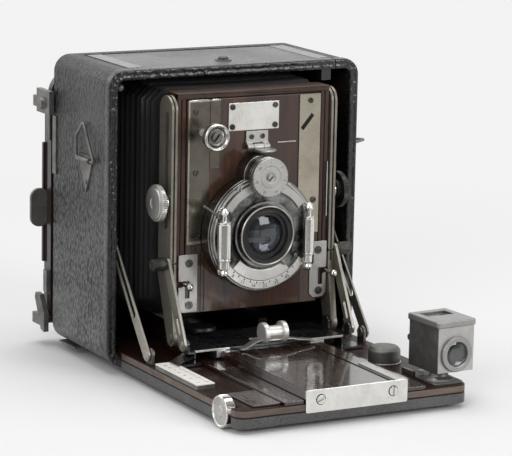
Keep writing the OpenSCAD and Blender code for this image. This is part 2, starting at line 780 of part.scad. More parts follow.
// Bare nameplate, the two slotted corner brackets, the hinge bracket, their screws and a thin stop wire.
module panel_plates() at_front() color([0.80, 0.79, 0.74]) {
    along_y(-21.9, board_y[0]) area([-15.9, 14.2], [126.6, 141.4]);
    for (x = [-13.6, 11.9], z = [128.7, 139.3])
        front_screw(x, z, -21.9, 1.5, 0.5, 40 * x);
    left_bracket();
    right_bracket();
    for (p = [[-38, 57.4], [-37.8, 34.8], [40, 58.4], [40.7, 36]])
        front_screw(p[0], p[1], bracket_y, 2.2, 0.5, p[1]);
    rod_x(13.7, 24.8, -21.6, 118.9, 0.4);
    along_y(-22.3, board_y[0]) area([-5.5, 7.7], [tongue_at[1] + 2, 126]);
    for (x = [-2.2, 4.4])
        front_screw(x, 123, -22.3, 1.4, 0.5, 60);
    for (x = [[-5.5, -2], [4.2, 7.7]]) {
        rod_x(x[0], x[1], tongue_at[0], tongue_at[1], 1.7);
        block(x, [tongue_at[0], board_y[0]], [tongue_at[1] - 0.6, tongue_at[1] + 2.2]);
    }
    rod_x(-5.5, 7.7, tongue_at[0], tongue_at[1], 0.7);
}

// Pin with a ball end that slides in the mouth of a bracket's slot, towards its corner.
module bracket_pin(x, z, y) {
    rod_y(y, -21.3, x, z, 1);
    translate([x, y, z]) sphere(2.1);
}

module bracket_pin_left() at_front() color([0.70, 0.69, 0.65]) bracket_pin(-41.6, 46.3, -30);

module bracket_pin_right() at_front() color([0.70, 0.69, 0.65]) bracket_pin(44.3, 47, -31.6);

// Round milled knob on a long shank, with a hollow face.
module panel_knob() at_front() color([0.78, 0.77, 0.73])
    translate([knob_at[0], -21.9, knob_at[1]]) rotate([90, 0, 0]) rotate_extrude()
        polygon([[0, 0], [2.5, 0], [2.5, 0.5], [1.9, 0.7], [1.9, 12.6], [6.2, 13.4], [7.2, 14.2], [7.2, 17.6],
            [6.4, 18], [5.4, 17.6], [4.8, 15.6], [2.6, 15.4], [2.4, 17], [0, 17.2]]);

// Tongue that swings down over the shutter from the hinge bracket.
module catch_tongue() at_front() color([0.66, 0.65, 0.62])
    difference() {
        union() {
            rod_x(-1.8, 4, tongue_at[0], tongue_at[1], 1.7);
            block([-1.8, 9], [-33.2, tongue_at[0]], [tongue_at[1] - 1.7, tongue_at[1] - 0.7]);
        }
        rod_x(-3, 5, tongue_at[0], tongue_at[1], 0.7 + run_gap);
        block([4, 10], [tongue_at[0] - 2.4, -20], [tongue_at[1] - 2, tongue_at[1]]);
    }

// Shutter and lens

// Moves a flat shape to the lens axis.
module lens_area() {
    translate([0, lens_z]) children();
}

module shutter_case() at_front() color([0.16, 0.16, 0.17])
    difference() {
        union() {
            rod_y(case_y[0], case_y[1], 0, lens_z, case_r);
            rod_y(case_y[0], case_y[1], 0, dial_z, 10.6);
        }
        rod_y(-31.4, -22.6, 0, lens_z, case_r - 3);
        rod_y(-40, -20, 0, lens_z, barrel_r + 0.1);
        rod_y(-34, -31.6, -26.5, 83.5, 1.2 + run_gap);
    }

// Nickel face with the band over the lens, the drum under the dial and the aperture scale.
module shutter_face() at_front() color([0.78, 0.77, 0.74])
    difference() {
        union() {
            along_y(face_y, case_y[0]) lens_area() circle(29.8);
            along_y(face_y - 1.5, face_y) lens_area() ring_area(24.8, 29, 32, 148);
            along_y(face_y - 0.6, face_y) lens_area() {
                ring_area(19.2, 25, -138, -50);
                ring_area(25.2, 29.4, -148, -32);
            }
            rod_y(-38.2, case_y[0], 0, dial_z, dial_r);
        }
        rod_y(-40, -30, 0, lens_z, barrel_r + 0.2);
        rod_y(-40, -34, 0, dial_z, 1.5 + run_gap);
        rod_y(-36, -30, -26.5, 83.5, 1.2 + run_gap);
    }

module speed_dial() at_front() color([0.82, 0.81, 0.77]) {
    difference() {
        rod_y(-40.4, -38.3, 0, dial_z, dial_r - 0.1);
        rod_y(-41, -40.1, 0, dial_z, 6.2);
    }
    rod_y(-40.4, -38.3, 0, dial_z, 5.4);
    front_screw(0, dial_z, -40.4, 1.9, 0.8, 55);
    rod_y(-38.5, -34.2, 0, dial_z, 1.5);
}

// One air cylinder with a ball at each end, carried on posts from the face.
module brake_cylinder(r, z) {
    top = z[1] + 5;
    bottom = z[0] - 6.4;
    rod_z(z[0], z[1], 0, cylinder_y, r);
    rod_z(z[0] - 4.4, z[0], 0, cylinder_y, r - 0.8);
    rod_z(bottom, top, 0, cylinder_y, 1.3);
    for (p = [bottom, top]) {
        translate([0, cylinder_y, p]) sphere(2.2);
        rod_y(cylinder_y, face_y, 0, p, 1.1);
    }
}

module brake_cylinders() at_front() color([0.82, 0.81, 0.78]) {
    translate([-cylinder_x, 0, 0]) brake_cylinder(3.3, [60.6, 81.6]);
    translate([cylinder_x, 0, 0]) brake_cylinder(3, [60.2, 80.8]);
}

module aperture_pointer() at_front() color([0.30, 0.30, 0.30])
    along_y(-35.6, -34.5) lens_area() {
        difference() {
            circle(17.9);
            circle(barrel_r + 0.3);
        }
        rotate(-115) translate([17.4, -1.2]) square([6.8, 2.4]);
    }

module release_lever() at_front() color([0.66, 0.65, 0.62]) {
    along_y(-35, -34) {
        translate([-26.5, 83.5]) circle(1.7);
        link_area([-26.5, 83.5], [-36.2, 90.2], 1.8);
    }
    rod_y(-34.2, -31.8, -26.5, 83.5, 1.2);
}

// Two thin plates that meet behind the front lens and part when the shutter opens.
module blade_upper() at_front() color([0.10, 0.10, 0.10])
    along_y(-29, -28.6) lens_area() round_area([-blade_x, blade_x], [-1, 13], 2);

module blade_lower() at_front() color([0.10, 0.10, 0.10])
    along_y(-27.8, -27.4) lens_area() round_area([-blade_x, blade_x], [-13, 1], 2);

module lens_barrel() at_front() color([0.14, 0.14, 0.14]) {
    difference() {
        rod_y(-38.6, -30.4, 0, lens_z, barrel_r);
        rod_y(-39, -37.4, 0, lens_z, 14.4);
        rod_y(-38, -35.8, 0, lens_z, 12.4);
        rod_y(-36, -30, 0, lens_z, 10.4);
    }
    difference() {
        union() {
            rod_y(-25, -17, 0, lens_z, barrel_r);
            rod_y(-17, -6, 0, lens_z, 13.6);
            rod_y(-17, -15.4, 0, lens_z, 20);
        }
        rod_y(-26, -5, 0, lens_z, 10.4);
    }
}

module lens_glass() {
    rotate_extrude() polygon([[0, 0], [10.35, 0], [10.35, 0.8], [8.4, 1.7], [6, 2.4], [3, 2.9], [0, 3]]);
}

module lens_glasses() at_front() color([0.55, 0.60, 0.68])
    translate([0, 0, lens_z]) {
        translate([0, -32.6, 0]) rotate([90, 0, 0]) lens_glass();
        translate([0, -10, 0]) rotate([-90, 0, 0]) lens_glass();
    }

body_carcass();
leather_cover();
base_fittings();
inner_frame();
body_pins();
strap_plates();
bellows_rear();
back_frame();
plate_holder();
glass_plate();
top_flap();
flap_leather();
release_button();
strap_loop_left();
strap_loop_right();
sheath();
back_catch_upper();
back_catch_lower();
bed_board();
bed_leather();
bed_guides();
scale_plate();
bed_fittings();
focus_track();
track_plates();
focus_wheel();
stay_left();
stay_right();
bed_knob();
finder_hood();
finder_glass();
bellows_rib();
bellows_front();
carriage();
uprights();
brace_arms();
brace_knob_left();
brace_knob_right();
track_clamp();
clamp_studs();
clamp_knob_left();
clamp_knob_right();
panel_frame();
lens_board();
side_plates();
panel_plates();
bracket_pin_left();
bracket_pin_right();
panel_knob();
catch_tongue();
shutter_case();
shutter_face();
speed_dial();
brake_cylinders();
aperture_pointer();
release_lever();
blade_upper();
blade_lower();
lens_barrel();
lens_glasses();
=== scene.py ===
import math

import bmesh
import bpy
import numpy as np
from mathutils import Matrix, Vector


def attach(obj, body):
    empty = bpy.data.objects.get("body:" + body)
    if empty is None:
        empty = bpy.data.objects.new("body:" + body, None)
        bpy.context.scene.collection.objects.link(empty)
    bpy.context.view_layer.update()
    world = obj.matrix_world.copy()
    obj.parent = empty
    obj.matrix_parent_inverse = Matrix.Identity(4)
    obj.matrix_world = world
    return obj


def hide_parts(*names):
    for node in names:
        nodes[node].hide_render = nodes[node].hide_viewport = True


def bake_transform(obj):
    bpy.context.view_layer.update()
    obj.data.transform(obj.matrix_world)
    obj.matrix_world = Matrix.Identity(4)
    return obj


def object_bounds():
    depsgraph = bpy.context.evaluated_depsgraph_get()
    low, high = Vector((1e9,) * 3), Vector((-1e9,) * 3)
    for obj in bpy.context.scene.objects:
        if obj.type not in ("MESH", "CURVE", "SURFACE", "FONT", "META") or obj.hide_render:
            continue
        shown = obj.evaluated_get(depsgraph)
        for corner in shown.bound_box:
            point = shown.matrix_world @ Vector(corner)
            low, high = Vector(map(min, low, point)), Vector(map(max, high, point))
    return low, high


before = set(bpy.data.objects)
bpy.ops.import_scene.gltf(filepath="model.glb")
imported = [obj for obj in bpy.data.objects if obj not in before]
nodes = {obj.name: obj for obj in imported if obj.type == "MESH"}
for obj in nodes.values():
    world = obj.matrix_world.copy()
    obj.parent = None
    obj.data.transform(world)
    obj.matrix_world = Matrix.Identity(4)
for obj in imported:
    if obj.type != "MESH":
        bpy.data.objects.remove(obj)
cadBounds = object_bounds()
mm = 0.001
mouthY = -36.0  # the body's mouth, ahead of the tripod bush, in mm

# Camera

cameraSettings = {
    "place": (-691.37, -1337.60, 364.04),  # mm
    "yaw": 28.439,  # degrees to the right of +Y
    "pitch": -11.295,
    "roll": 1.153,
    "lens": 195.77,
    "sensor": 36.0,
    "clip": (0.05, 20.0),  # m
}


def makeCamera(settings):
    yaw, pitch, roll = (math.radians(settings[key]) for key in ("yaw", "pitch", "roll"))
    ahead = np.array([math.sin(yaw) * math.cos(pitch), math.cos(yaw) * math.cos(pitch), math.sin(pitch)])
    levelRight = np.array([math.cos(yaw), -math.sin(yaw), 0.0])
    levelUp = np.cross(levelRight, ahead)
    up = levelUp * math.cos(roll) - levelRight * math.sin(roll)
    camera = bpy.data.objects.new("camera", bpy.data.cameras.new("camera"))
    camera.data.lens = settings["lens"]
    camera.data.sensor_width = settings["sensor"]
    camera.data.clip_start, camera.data.clip_end = settings["clip"]
    place = np.array(settings["place"]) * mm
    turned = np.column_stack([np.cross(ahead, up), up, -ahead, place])
    camera.matrix_world = Matrix(np.vstack([turned, [0, 0, 0, 1]]).tolist())
    bpy.context.scene.collection.objects.link(camera)
    bpy.context.scene.camera = camera


makeCamera(cameraSettings)
print("stage: camera")

# Shader nodes


# Gives a socket a number, a colour or the output of another node.
def feed(tree, socket, value):
    if isinstance(value, (int, float)):
        socket.default_value = value
    elif isinstance(value, tuple):
        socket.default_value = (*value, 1)
    else:
        tree.links.new(value, socket)


def addNode(tree, kind, inputs, **settings):
    node = tree.nodes.new("ShaderNode" + kind)
    for key, value in settings.items():
        setattr(node, key, value)
    for socket, value in inputs.items():
        feed(tree, node.inputs[socket], value)
    return node


def startMaterial(name, sockets):
    material = bpy.data.materials.new(name)
    material.use_nodes = True
    shader = material.node_tree.nodes["Principled BSDF"]
    for socket, value in sockets.items():
        feed(material.node_tree, shader.inputs[socket], value)
    return material, material.node_tree, shader


def objectPoint(tree, scale=(1, 1, 1), turn=(0, 0, 0)):
    mapping = addNode(tree, "Mapping", {"Vector": addNode(tree, "TexCoord", {}).outputs["Object"]})
    mapping.inputs["Scale"].default_value = scale
    mapping.inputs["Rotation"].default_value = turn
    return mapping.outputs["Vector"]


def noise(tree, point, scale, detail=3.0, roughness=0.5, distortion=0.0):
    inputs = {"Vector": point, "Scale": scale, "Detail": detail, "Roughness": roughness, "Distortion": distortion}
    return addNode(tree, "TexNoise", inputs).outputs["Fac"]


# Turns a factor into a grey or a colour between two stops.
def ramp(tree, factor, *stops):
    node = addNode(tree, "ValToRGB", {"Fac": factor})
    for element, (place, colour) in zip(node.color_ramp.elements, stops):
        element.position = place
        element.color = (*colour, 1) if isinstance(colour, tuple) else (colour, colour, colour, 1)
    return node.outputs["Color"]


def blendColours(tree, factor, first, second, kind="MIX"):
    return addNode(tree, "Mix", {0: factor, 6: first, 7: second}, data_type="RGBA", blend_type=kind).outputs[2]


def calculate(tree, kind, first, second):
    return addNode(tree, "Math", {0: first, 1: second}, operation=kind).outputs[0]


# Adds a bump of a height's distance in m to the shader, on top of the one before.
def bump(tree, shader, height, distance, strength, before=None):
    inputs = {"Strength": strength, "Distance": distance, "Height": height}
    if before is not None:
        inputs["Normal"] = before
    normal = addNode(tree, "Bump", inputs).outputs["Normal"]
    feed(tree, shader.inputs["Normal"], normal)
    return normal


def scaled(colour, share, added=0.0):
    return tuple(share * part + added for part in colour)


# Studio

studioSettings = {
    "floorZ": cadBounds[0].z,
    "floorSize": 6.0,
    "floorColour": (0.84, 0.84, 0.84),
    "backdropColour": (0.89, 0.895, 0.89),
    "fade": (0.28, 0.60),  # distances in m over which the floor turns into the backdrop
    "worldLight": (0.34, 0.34, 0.34),
    "aim": (0.0, -0.05, 0.06),
    "lamps": (  # name, place in m, width and height in m, power in W
        ("keyLamp", (-1.15, -1.15, 0.8), (0.8, 0.8), 7.0),
        ("windowLamp", (0.65, -1.3, 0.55), (0.62, 0.46), 7.0),
        ("topLamp", (0.15, 0.2, 1.7), (1.5, 1.5), 19.0),
        ("backLamp", (-0.9, 1.5, 1.1), (1.2, 1.2), 6.0),
    ),
    "wallCard": {"x": 3.0, "y": -2.3, "z": (0.05, 3.0), "grey": 0.02},  # m; only reflections show the cards
    "floorCard": {"turns": (-76, 18), "reach": (0.24, 1.2), "middle": (0.0, -0.06), "grey": 0.20},
}


# The rays that show the backdrop: those of the camera, and those that mirror it or pass through glass.
def shownRays(tree):
    rays = addNode(tree, "LightPath", {})
    straight = calculate(tree, "MAXIMUM", rays.outputs["Is Camera Ray"], rays.outputs["Is Transmission Ray"])
    return calculate(tree, "MAXIMUM", straight, rays.outputs["Is Glossy Ray"])


def mixShaders(tree, factor, first, second, output):
    mix = addNode(tree, "MixShader", {"Fac": factor, 1: first, 2: second})
    feed(tree, output.inputs["Surface"], mix.outputs[0])


def stageSheet(name, corners, colour):
    mesh = bpy.data.meshes.new(name)
    mesh.from_pydata(corners, [], [list(range(len(corners)))])
    sheet = bpy.data.objects.new(name, mesh)
    bpy.context.scene.collection.objects.link(sheet)
    sockets = {"Base Color": colour, "Roughness": 0.9, "Specular IOR Level": 0.1}
    material, tree, shader = startMaterial(name, sockets)
    mesh.materials.append(material)
    return sheet, tree, shader


# A pale floor that turns into the backdrop away from the camera's subject.
def makeFloor(settings):
    half = settings["floorSize"] / 2
    corners = [(x, y, settings["floorZ"]) for x, y in ((-half, -half), (half, -half), (half, half), (-half, half))]
    tree, shader = stageSheet("studioFloor", corners, settings["floorColour"])[1:]
    distance = addNode(tree, "VectorMath", {0: objectPoint(tree)}, operation="LENGTH").outputs["Value"]
    near, far = settings["fade"]
    inputs = {"Value": distance, "From Min": near, "From Max": far}
    fade = addNode(tree, "MapRange", inputs, interpolation_type="SMOOTHSTEP").outputs["Result"]
    glow = addNode(tree, "Emission", {"Color": settings["backdropColour"]})
    mixShaders(tree, calculate(tree, "MULTIPLY", fade, shownRays(tree)), shader.outputs[0], glow.outputs[0],
               tree.nodes["Material Output"])


# Grey cards that only reflections show: a wall in front and a sector of the floor.
def makeCards(settings):
    wall, sector = settings["wallCard"], settings["floorCard"]
    low, high = wall["z"]
    corners = [(-wall["x"], low), (wall["x"], low), (wall["x"], high), (-wall["x"], high)]
    angle = np.radians(np.linspace(*sector["turns"], 8))
    rim = np.stack([np.sin(angle), -np.cos(angle)], -1)
    near, far = sector["reach"]
    ring = np.vstack([near * rim, far * rim[::-1]]) + sector["middle"]
    for name, points, grey in (("wallCard", [(x, wall["y"], z) for x, z in corners], wall["grey"]),
                               ("floorCard", [(x, y, 0.0) for x, y in ring.tolist()], sector["grey"])):
        card = stageSheet(name, points, (grey, grey, grey))[0]
        card.visible_camera = card.visible_diffuse = card.visible_shadow = card.visible_transmission = False


def makeLights(settings):
    world = bpy.data.worlds.new("studio")
    world.use_nodes = True
    bpy.context.scene.world = world
    tree = world.node_tree
    tree.nodes.clear()
    backs = [addNode(tree, "Background", {"Color": settings[key]}).outputs[0]
             for key in ("worldLight", "backdropColour")]
    mixShaders(tree, shownRays(tree), *backs, addNode(tree, "OutputWorld", {}))
    for name, place, (wide, tall), power in settings["lamps"]:
        lamp = bpy.data.objects.new(name, bpy.data.lights.new(name, "AREA"))
        lamp.data.shape = "RECTANGLE"
        lamp.data.size, lamp.data.size_y = wide, tall
        lamp.data.energy = power
        back = np.array(place) - settings["aim"]
        back /= np.linalg.norm(back)
        side = np.cross((0.0, 0.0, 1.0), back)
        side /= np.linalg.norm(side)
        turned = np.column_stack([side, np.cross(back, side), back, place])
        lamp.matrix_world = Matrix(np.vstack([turned, [0, 0, 0, 1]]).tolist())
        bpy.context.scene.collection.objects.link(lamp)


makeFloor(studioSettings)
makeCards(studioSettings)
makeLights(studioSettings)
bpy.context.scene.view_settings.view_transform = "Standard"
print("stage: studio")

# Finishes


# Pebbled leather: round grains a few tenths of a millimetre high, paler on top and darker in the hollows
# between them as painted shade, over slow patches of wear.
# A fade darkens it with height as painted shade, down to a share of its colour at a height in m.
def leatherFinish(name, pebble, depth, dark, light, roughness, stretch=(1, 1, 1), fade=None):
    sockets = {"Roughness": roughness, "Coat Weight": 0.15, "Coat Roughness": 0.35}
    material, tree, shader = startMaterial(name, sockets)
    point = objectPoint(tree, scale=stretch)
    warped = addNode(tree, "Mix", {0: 0.0035, 4: point, 5: noise(tree, point, 90.0, 2.0)}, data_type="VECTOR")
    inputs = {"Vector": warped.outputs[1], "Scale": 1.0 / pebble, "Smoothness": 0.25}
    grain = addNode(tree, "TexVoronoi", inputs, feature="SMOOTH_F1").outputs["Distance"]
    height = calculate(tree, "SUBTRACT", 1.0, grain)
    slow = noise(tree, point, 14.0, 4.0, 0.6)
    # Painted shade: the hollows between the grains are darker than their tops.
    colour = ramp(tree, height, (0.25, dark), (0.85, light))
    colour = blendColours(tree, ramp(tree, slow, (0.42, 0.0), (0.75, 0.55)), colour, scaled(light, 1.7))
    # Painted shade: the colour darkens with height.
    if fade:
        top, share = fade
        parts = addNode(tree, "SeparateXYZ", {0: objectPoint(tree, scale=(1, 1, 1 / top))})
        shade = ramp(tree, parts.outputs["Z"], (0.0, 1.0), (1.0, share))
        colour = blendColours(tree, 1.0, colour, shade, "MULTIPLY")
    feed(tree, shader.inputs["Base Color"], colour)
    feed(tree, shader.inputs["Roughness"], ramp(tree, slow, (0.3, roughness + 0.08), (0.7, roughness - 0.08)))
    first = bump(tree, shader, noise(tree, point, 2600.0), depth * 0.2, 0.6)
    bump(tree, shader, height, depth, 0.9, first)
    return material


# Straight-grained wood: long soft bands and short dark pores that run along one axis, under polish.
def woodFinish(name, grain, dark, light, roughness, coat):
    sockets = {"Roughness": roughness, "Coat Weight": coat, "Coat Roughness": 0.07}
    material, tree, shader = startMaterial(name, sockets)
    stretched = objectPoint(tree, scale=tuple(0.06 if axis == grain else 1.0 for axis in "XYZ"))
    bands = noise(tree, stretched, 150.0, 5.0, 0.62, 0.6)
    pores = noise(tree, stretched, 1900.0, 3.0, 0.7)
    slow = noise(tree, objectPoint(tree), 18.0)
    colour = ramp(tree, bands, (0.30, dark), (0.72, light))
    colour = blendColours(tree, ramp(tree, pores, (0.36, 0.55), (0.50, 0.0)), colour, scaled(dark, 0.35))
    colour = blendColours(tree, ramp(tree, slow, (0.3, 0.0), (0.8, 0.35)), colour, light)
    feed(tree, shader.inputs["Base Color"], colour)
    feed(tree, shader.inputs["Roughness"], ramp(tree, pores, (0.3, roughness + 0.15), (0.6, roughness)))
    bump(tree, shader, pores, 0.00006, 0.35)
    return material


# Old plated or lacquered metal: its colour drifts to the toned one in patches, with fine scratches.
def metalFinish(name, bright, toned, roughness, spots=0.35, scratch=0.5):
    sockets = {"Roughness": roughness, "Metallic": 1.0, "Coat Roughness": 0.1}
    material, tree, shader = startMaterial(name, sockets)
    point = objectPoint(tree)
    patches = noise(tree, point, 95.0, 5.0, 0.65)
    specks = noise(tree, point, 900.0, 2.0)
    scratches = noise(tree, objectPoint(tree, (1.0, 0.12, 0.3), (0.3, 0.5, 0.2)), 1500.0, 2.0)
    colour = ramp(tree, patches, (0.40, bright), (0.40 + spots, toned))
    colour = blendColours(tree, ramp(tree, specks, (0.24, 0.6), (0.34, 0.0)), colour, scaled(toned, 0.5))
    feed(tree, shader.inputs["Base Color"], colour)
    feed(tree, shader.inputs["Roughness"], ramp(tree, patches, (0.3, roughness), (0.8, roughness + 0.2)))
    bump(tree, shader, scratches, 0.00003, scratch)
    return material


# Black enamel, dulled in patches, with rare chips that show metal.
def enamelFinish(name, colour, roughness, coat=0.5):
    sockets = {"Roughness": roughness, "Coat Weight": coat, "Coat Roughness": 0.08}
    material, tree, shader = startMaterial(name, sockets)
    point = objectPoint(tree)
    slow = noise(tree, point, 60.0, 4.0, 0.6)
    chips = ramp(tree, noise(tree, point, 420.0, 4.0, 0.7), (0.69, 0.0), (0.72, 0.8))
    base = ramp(tree, slow, (0.35, colour), (0.75, scaled(colour, 2.2, 0.01)))
    feed(tree, shader.inputs["Base Color"], blendColours(tree, chips, base, (0.32, 0.29, 0.24)))
    feed(tree, shader.inputs["Roughness"], ramp(tree, slow, (0.3, roughness), (0.8, roughness + 0.2)))
    bump(tree, shader, slow, 0.00008, 0.3)
    return material


# Clear glass with a thin film of dust.
def glassFinish(name, tint, roughness):
    sockets = {"Roughness": roughness, "Coat Weight": 0.3, "Coat Roughness": 0.03, "Transmission Weight": 0.985,
               "IOR": 1.5}
    material, tree, shader = startMaterial(name, sockets)
    dust = noise(tree, objectPoint(tree), 700.0, 4.0, 0.7)
    feed(tree, shader.inputs["Base Color"], ramp(tree, dust, (0.45, tint), (0.80, scaled(tint, 0.86))))
    feed(tree, shader.inputs["Roughness"], ramp(tree, dust, (0.55, roughness), (0.85, roughness + 0.08)))
    return material


finishFamilies = {
    leatherFinish: {  # grain size and depth in m, dark and light colours, roughness, stretch, fade of painted shade with height
        "coverLeather": (0.0016, 0.00075, (0.009, 0.009, 0.010), (0.195, 0.194, 0.191), 0.40, (1, 1, 0.6),
                         (0.15, 0.33)),
        # The roof flap's copy of the leather, paler than the walls' at their top: painted light from above.
        "roofLeather": (0.00155, 0.00026, (0.020, 0.020, 0.021), (0.120, 0.119, 0.117), 0.36),
        "rimLeather": (0.0022, 0.00026, (0.006, 0.006, 0.006), (0.016, 0.016, 0.016), 0.24),
        "bellowsLeather": (0.0008, 0.00008, (0.002, 0.002, 0.002), (0.008, 0.008, 0.008), 0.45),
        "edgeLeather": (0.0007, 0.00006, (0.030, 0.030, 0.030), (0.095, 0.094, 0.092), 0.45),
    },
    woodFinish: {  # grain axis, dark and light colours, roughness, coat
        "bodyWood": ("Z", (0.006, 0.0035, 0.003), (0.022, 0.011, 0.007), 0.35, 0.35),
        "panelWood": ("Z", (0.011, 0.0045, 0.003), (0.078, 0.034, 0.020), 0.26, 0.60),
        "frameWood": ("Z", (0.014, 0.006, 0.004), (0.065, 0.027, 0.016), 0.40, 0.25),
        "bedWood": ("Y", (0.008, 0.004, 0.003), (0.036, 0.016, 0.010), 0.22, 1.0),
        "boardWood": ("Y", (0.008, 0.004, 0.003), (0.034, 0.015, 0.010), 0.34, 0.1),
        "edgeWood": ("X", (0.060, 0.040, 0.030), (0.190, 0.130, 0.100), 0.45, 0.1),
    },
    metalFinish: {  # bright and toned colours, roughness, spread of the patches, strength of the scratches
        "nickel": ((0.66, 0.645, 0.61), (0.36, 0.34, 0.30), 0.15),
        "brightNickel": ((0.76, 0.75, 0.72), (0.56, 0.54, 0.50), 0.13, 0.5, 0.3),
        "satinNickel": ((0.50, 0.49, 0.47), (0.35, 0.34, 0.315), 0.36, 0.5, 0.4),
        "agedBrass": ((0.27, 0.25, 0.21), (0.13, 0.118, 0.095), 0.36, 0.5, 0.4),
        "paleBrass": ((0.40, 0.365, 0.30), (0.25, 0.225, 0.18), 0.18, 0.5),
        "darkBrass": ((0.15, 0.135, 0.11), (0.070, 0.062, 0.05), 0.16, 0.5),
        "darkMetal": ((0.20, 0.195, 0.185), (0.075, 0.072, 0.068), 0.34),
        "drumMetal": ((0.30, 0.295, 0.285), (0.12, 0.115, 0.11), 0.16, 0.4, 0.3),
        "paleMetal": ((0.60, 0.59, 0.565), (0.44, 0.425, 0.39), 0.38, 0.5, 0.3),
        "stripMetal": ((0.38, 0.375, 0.37), (0.26, 0.25, 0.24), 0.35, 0.5, 0.4),
        "screwMetal": ((0.13, 0.125, 0.12), (0.04, 0.038, 0.035), 0.28),
        "knobMetal": ((0.20, 0.195, 0.185), (0.08, 0.078, 0.074), 0.40),
        "darkKnob": ((0.070, 0.068, 0.064), (0.028, 0.027, 0.025), 0.34),
        "shankMetal": ((0.62, 0.61, 0.58), (0.45, 0.44, 0.41), 0.25, 0.5, 0.3),
        "armMetal": ((0.40, 0.38, 0.33), (0.20, 0.185, 0.155), 0.28, 0.5, 0.4),
        "spoolMetal": ((0.80, 0.79, 0.76), (0.62, 0.60, 0.56), 0.34, 0.5, 0.3),
        "agedFace": ((0.27, 0.27, 0.265), (0.035, 0.034, 0.032), 0.30, 0.20, 0.3),
        "wornEdge": ((0.62, 0.60, 0.55), (0.30, 0.28, 0.25), 0.24),
        "scaleSilver": ((0.88, 0.87, 0.84), (0.66, 0.64, 0.60), 0.26, 0.4, 0.3),
        "ivory": ((0.90, 0.88, 0.82), (0.80, 0.77, 0.70), 0.35, 0.5, 0.2),
        "mirror": ((0.88, 0.88, 0.88), (0.80, 0.80, 0.80), 0.06, 0.5, 0.1),
    },
    enamelFinish: {  # colour, roughness, coat
        "blackEnamel": ((0.008, 0.008, 0.009), 0.2),
        "blackRubber": ((0.012, 0.012, 0.012), 0.28),
        "barrelBlack": ((0.005, 0.005, 0.005), 0.22, 0.12),
        "matteBlack": ((0.004, 0.004, 0.004), 0.65, 0.0),
        "engraving": ((0.006, 0.006, 0.006), 0.5, 0.0),
        "fadedMark": ((0.20, 0.19, 0.18), 0.6, 0.0),
    },
    glassFinish: {  # tint, roughness
        "lensGlass": ((0.80, 0.86, 0.93), 0.02),
        "finderGlass": ((0.92, 0.96, 0.95), 0.02),
        "plateGlass": ((0.90, 0.93, 0.91), 0.02),
    },
}
finishChanges = {  # shader sockets that differ from their family's
    "coverLeather": {"Specular IOR Level": 0.3, "Coat Weight": 0.05},
    "bellowsLeather": {"Specular IOR Level": 0.25, "Coat Weight": 0.08},
    "panelWood": {"Specular IOR Level": 0.3},
    "frameWood": {"Specular IOR Level": 0.3},
    "boardWood": {"Specular IOR Level": 0.1},
    "ivory": {"Metallic": 0.0},
    "agedBrass": {"Metallic": 0.75},
    "armMetal": {"Metallic": 0.75},
    "darkMetal": {"Metallic": 0.75},
    "knobMetal": {"Metallic": 0.75},
    "spoolMetal": {"Metallic": 0.7},
    "shankMetal": {"Metallic": 0.35},
    "matteBlack": {"Specular IOR Level": 0.15},
    "barrelBlack": {"Specular IOR Level": 0.3},
    "engraving": {"Specular IOR Level": 0.2},
    "lensGlass": {"Coat Weight": 0.0},
}
finishes = {}
for make, members in finishFamilies.items():
    finishes.update({name: make(name, *values) for name, values in members.items()})
for finish, sockets in finishChanges.items():
    for socket, value in sockets.items():
        finishes[finish].node_tree.nodes["Principled BSDF"].inputs[socket].default_value = value

nodeFinishes = {  # the CAD nodes that stay in sight
    "coverLeather": ("leather_cover", "bed_leather"),
    "roofLeather": ("flap_leather",),
    "bodyWood": ("body_carcass", "inner_frame", "back_frame", "plate_holder", "top_flap"),
    "bedWood": ("focus_track", "bed_guides"),
    "boardWood": ("bed_board",),
    "nickel": ("clamp_studs",),
    "agedBrass": ("uprights",),
    "armMetal": ("brace_arms", "stay_left", "stay_right"),
    "darkMetal": ("bed_fittings", "base_fittings", "body_pins", "strap_plates", "sheath", "back_catch_upper",
                  "back_catch_lower", "finder_hood"),
    "blackEnamel": ("carriage",),
    "blackRubber": ("release_button",),
    "matteBlack": ("blade_upper", "blade_lower"),
    "plateGlass": ("glass_plate",),
}
nodeEdges = {  # width in mm and steps where a node's edges are rounder than most
    "uprights": (1.25, 4),
    "brace_arms": (0.45, 3),
    "stay_left": (0.4, 3),
    "stay_right": (0.4, 3),
    "bed_board": (0.7, 3),
    "bed_guides": (0.45, 3),
    "focus_track": (0.5, 3),
    "back_frame": (0.6, 3),
    "plate_holder": (0.6, 3),
    "sheath": (0.3, 3),
}


# Gives a CAD node its finish, drops the lines across its flat faces and rounds its edges a little.
def dressNode(nodeName, finish, edge=0.25, steps=2):
    piece = nodes[nodeName]
    piece.data.materials.clear()
    piece.data.materials.append(finishes[finish])
    weld = piece.modifiers.new("weld", "WELD")
    weld.merge_threshold = 0.000002
    flat = piece.modifiers.new("flat", "DECIMATE")
    flat.decimate_type = "DISSOLVE"
    flat.angle_limit = math.radians(0.8)
    soften = piece.modifiers.new("soften", "BEVEL")
    soften.width = edge * mm
    soften.segments = steps
    soften.limit_method = "ANGLE"
    soften.angle_limit = math.radians(35)
    soften.harden_normals = True
    soften.use_clamp_overlap = True


for finish, members in nodeFinishes.items():
    for member in members:
        dressNode(member, finish, *nodeEdges.get(member, ()))
print("stage: finishes")

# Surfaces


# Four-sided faces between the points of closed rows and the rows that follow them.
def gridFaces(rows, columns, closeRows=False):
    row = np.arange(rows if closeRows else rows - 1)[:, None]
    column = np.arange(columns)[None, :]
    nextRow, nextColumn = (row + 1) % rows, (column + 1) % columns
    corners = [row * columns + column, row * columns + nextColumn,
               nextRow * columns + nextColumn, nextRow * columns + column]
    return np.stack(corners, -1).reshape(-1, 4).tolist()


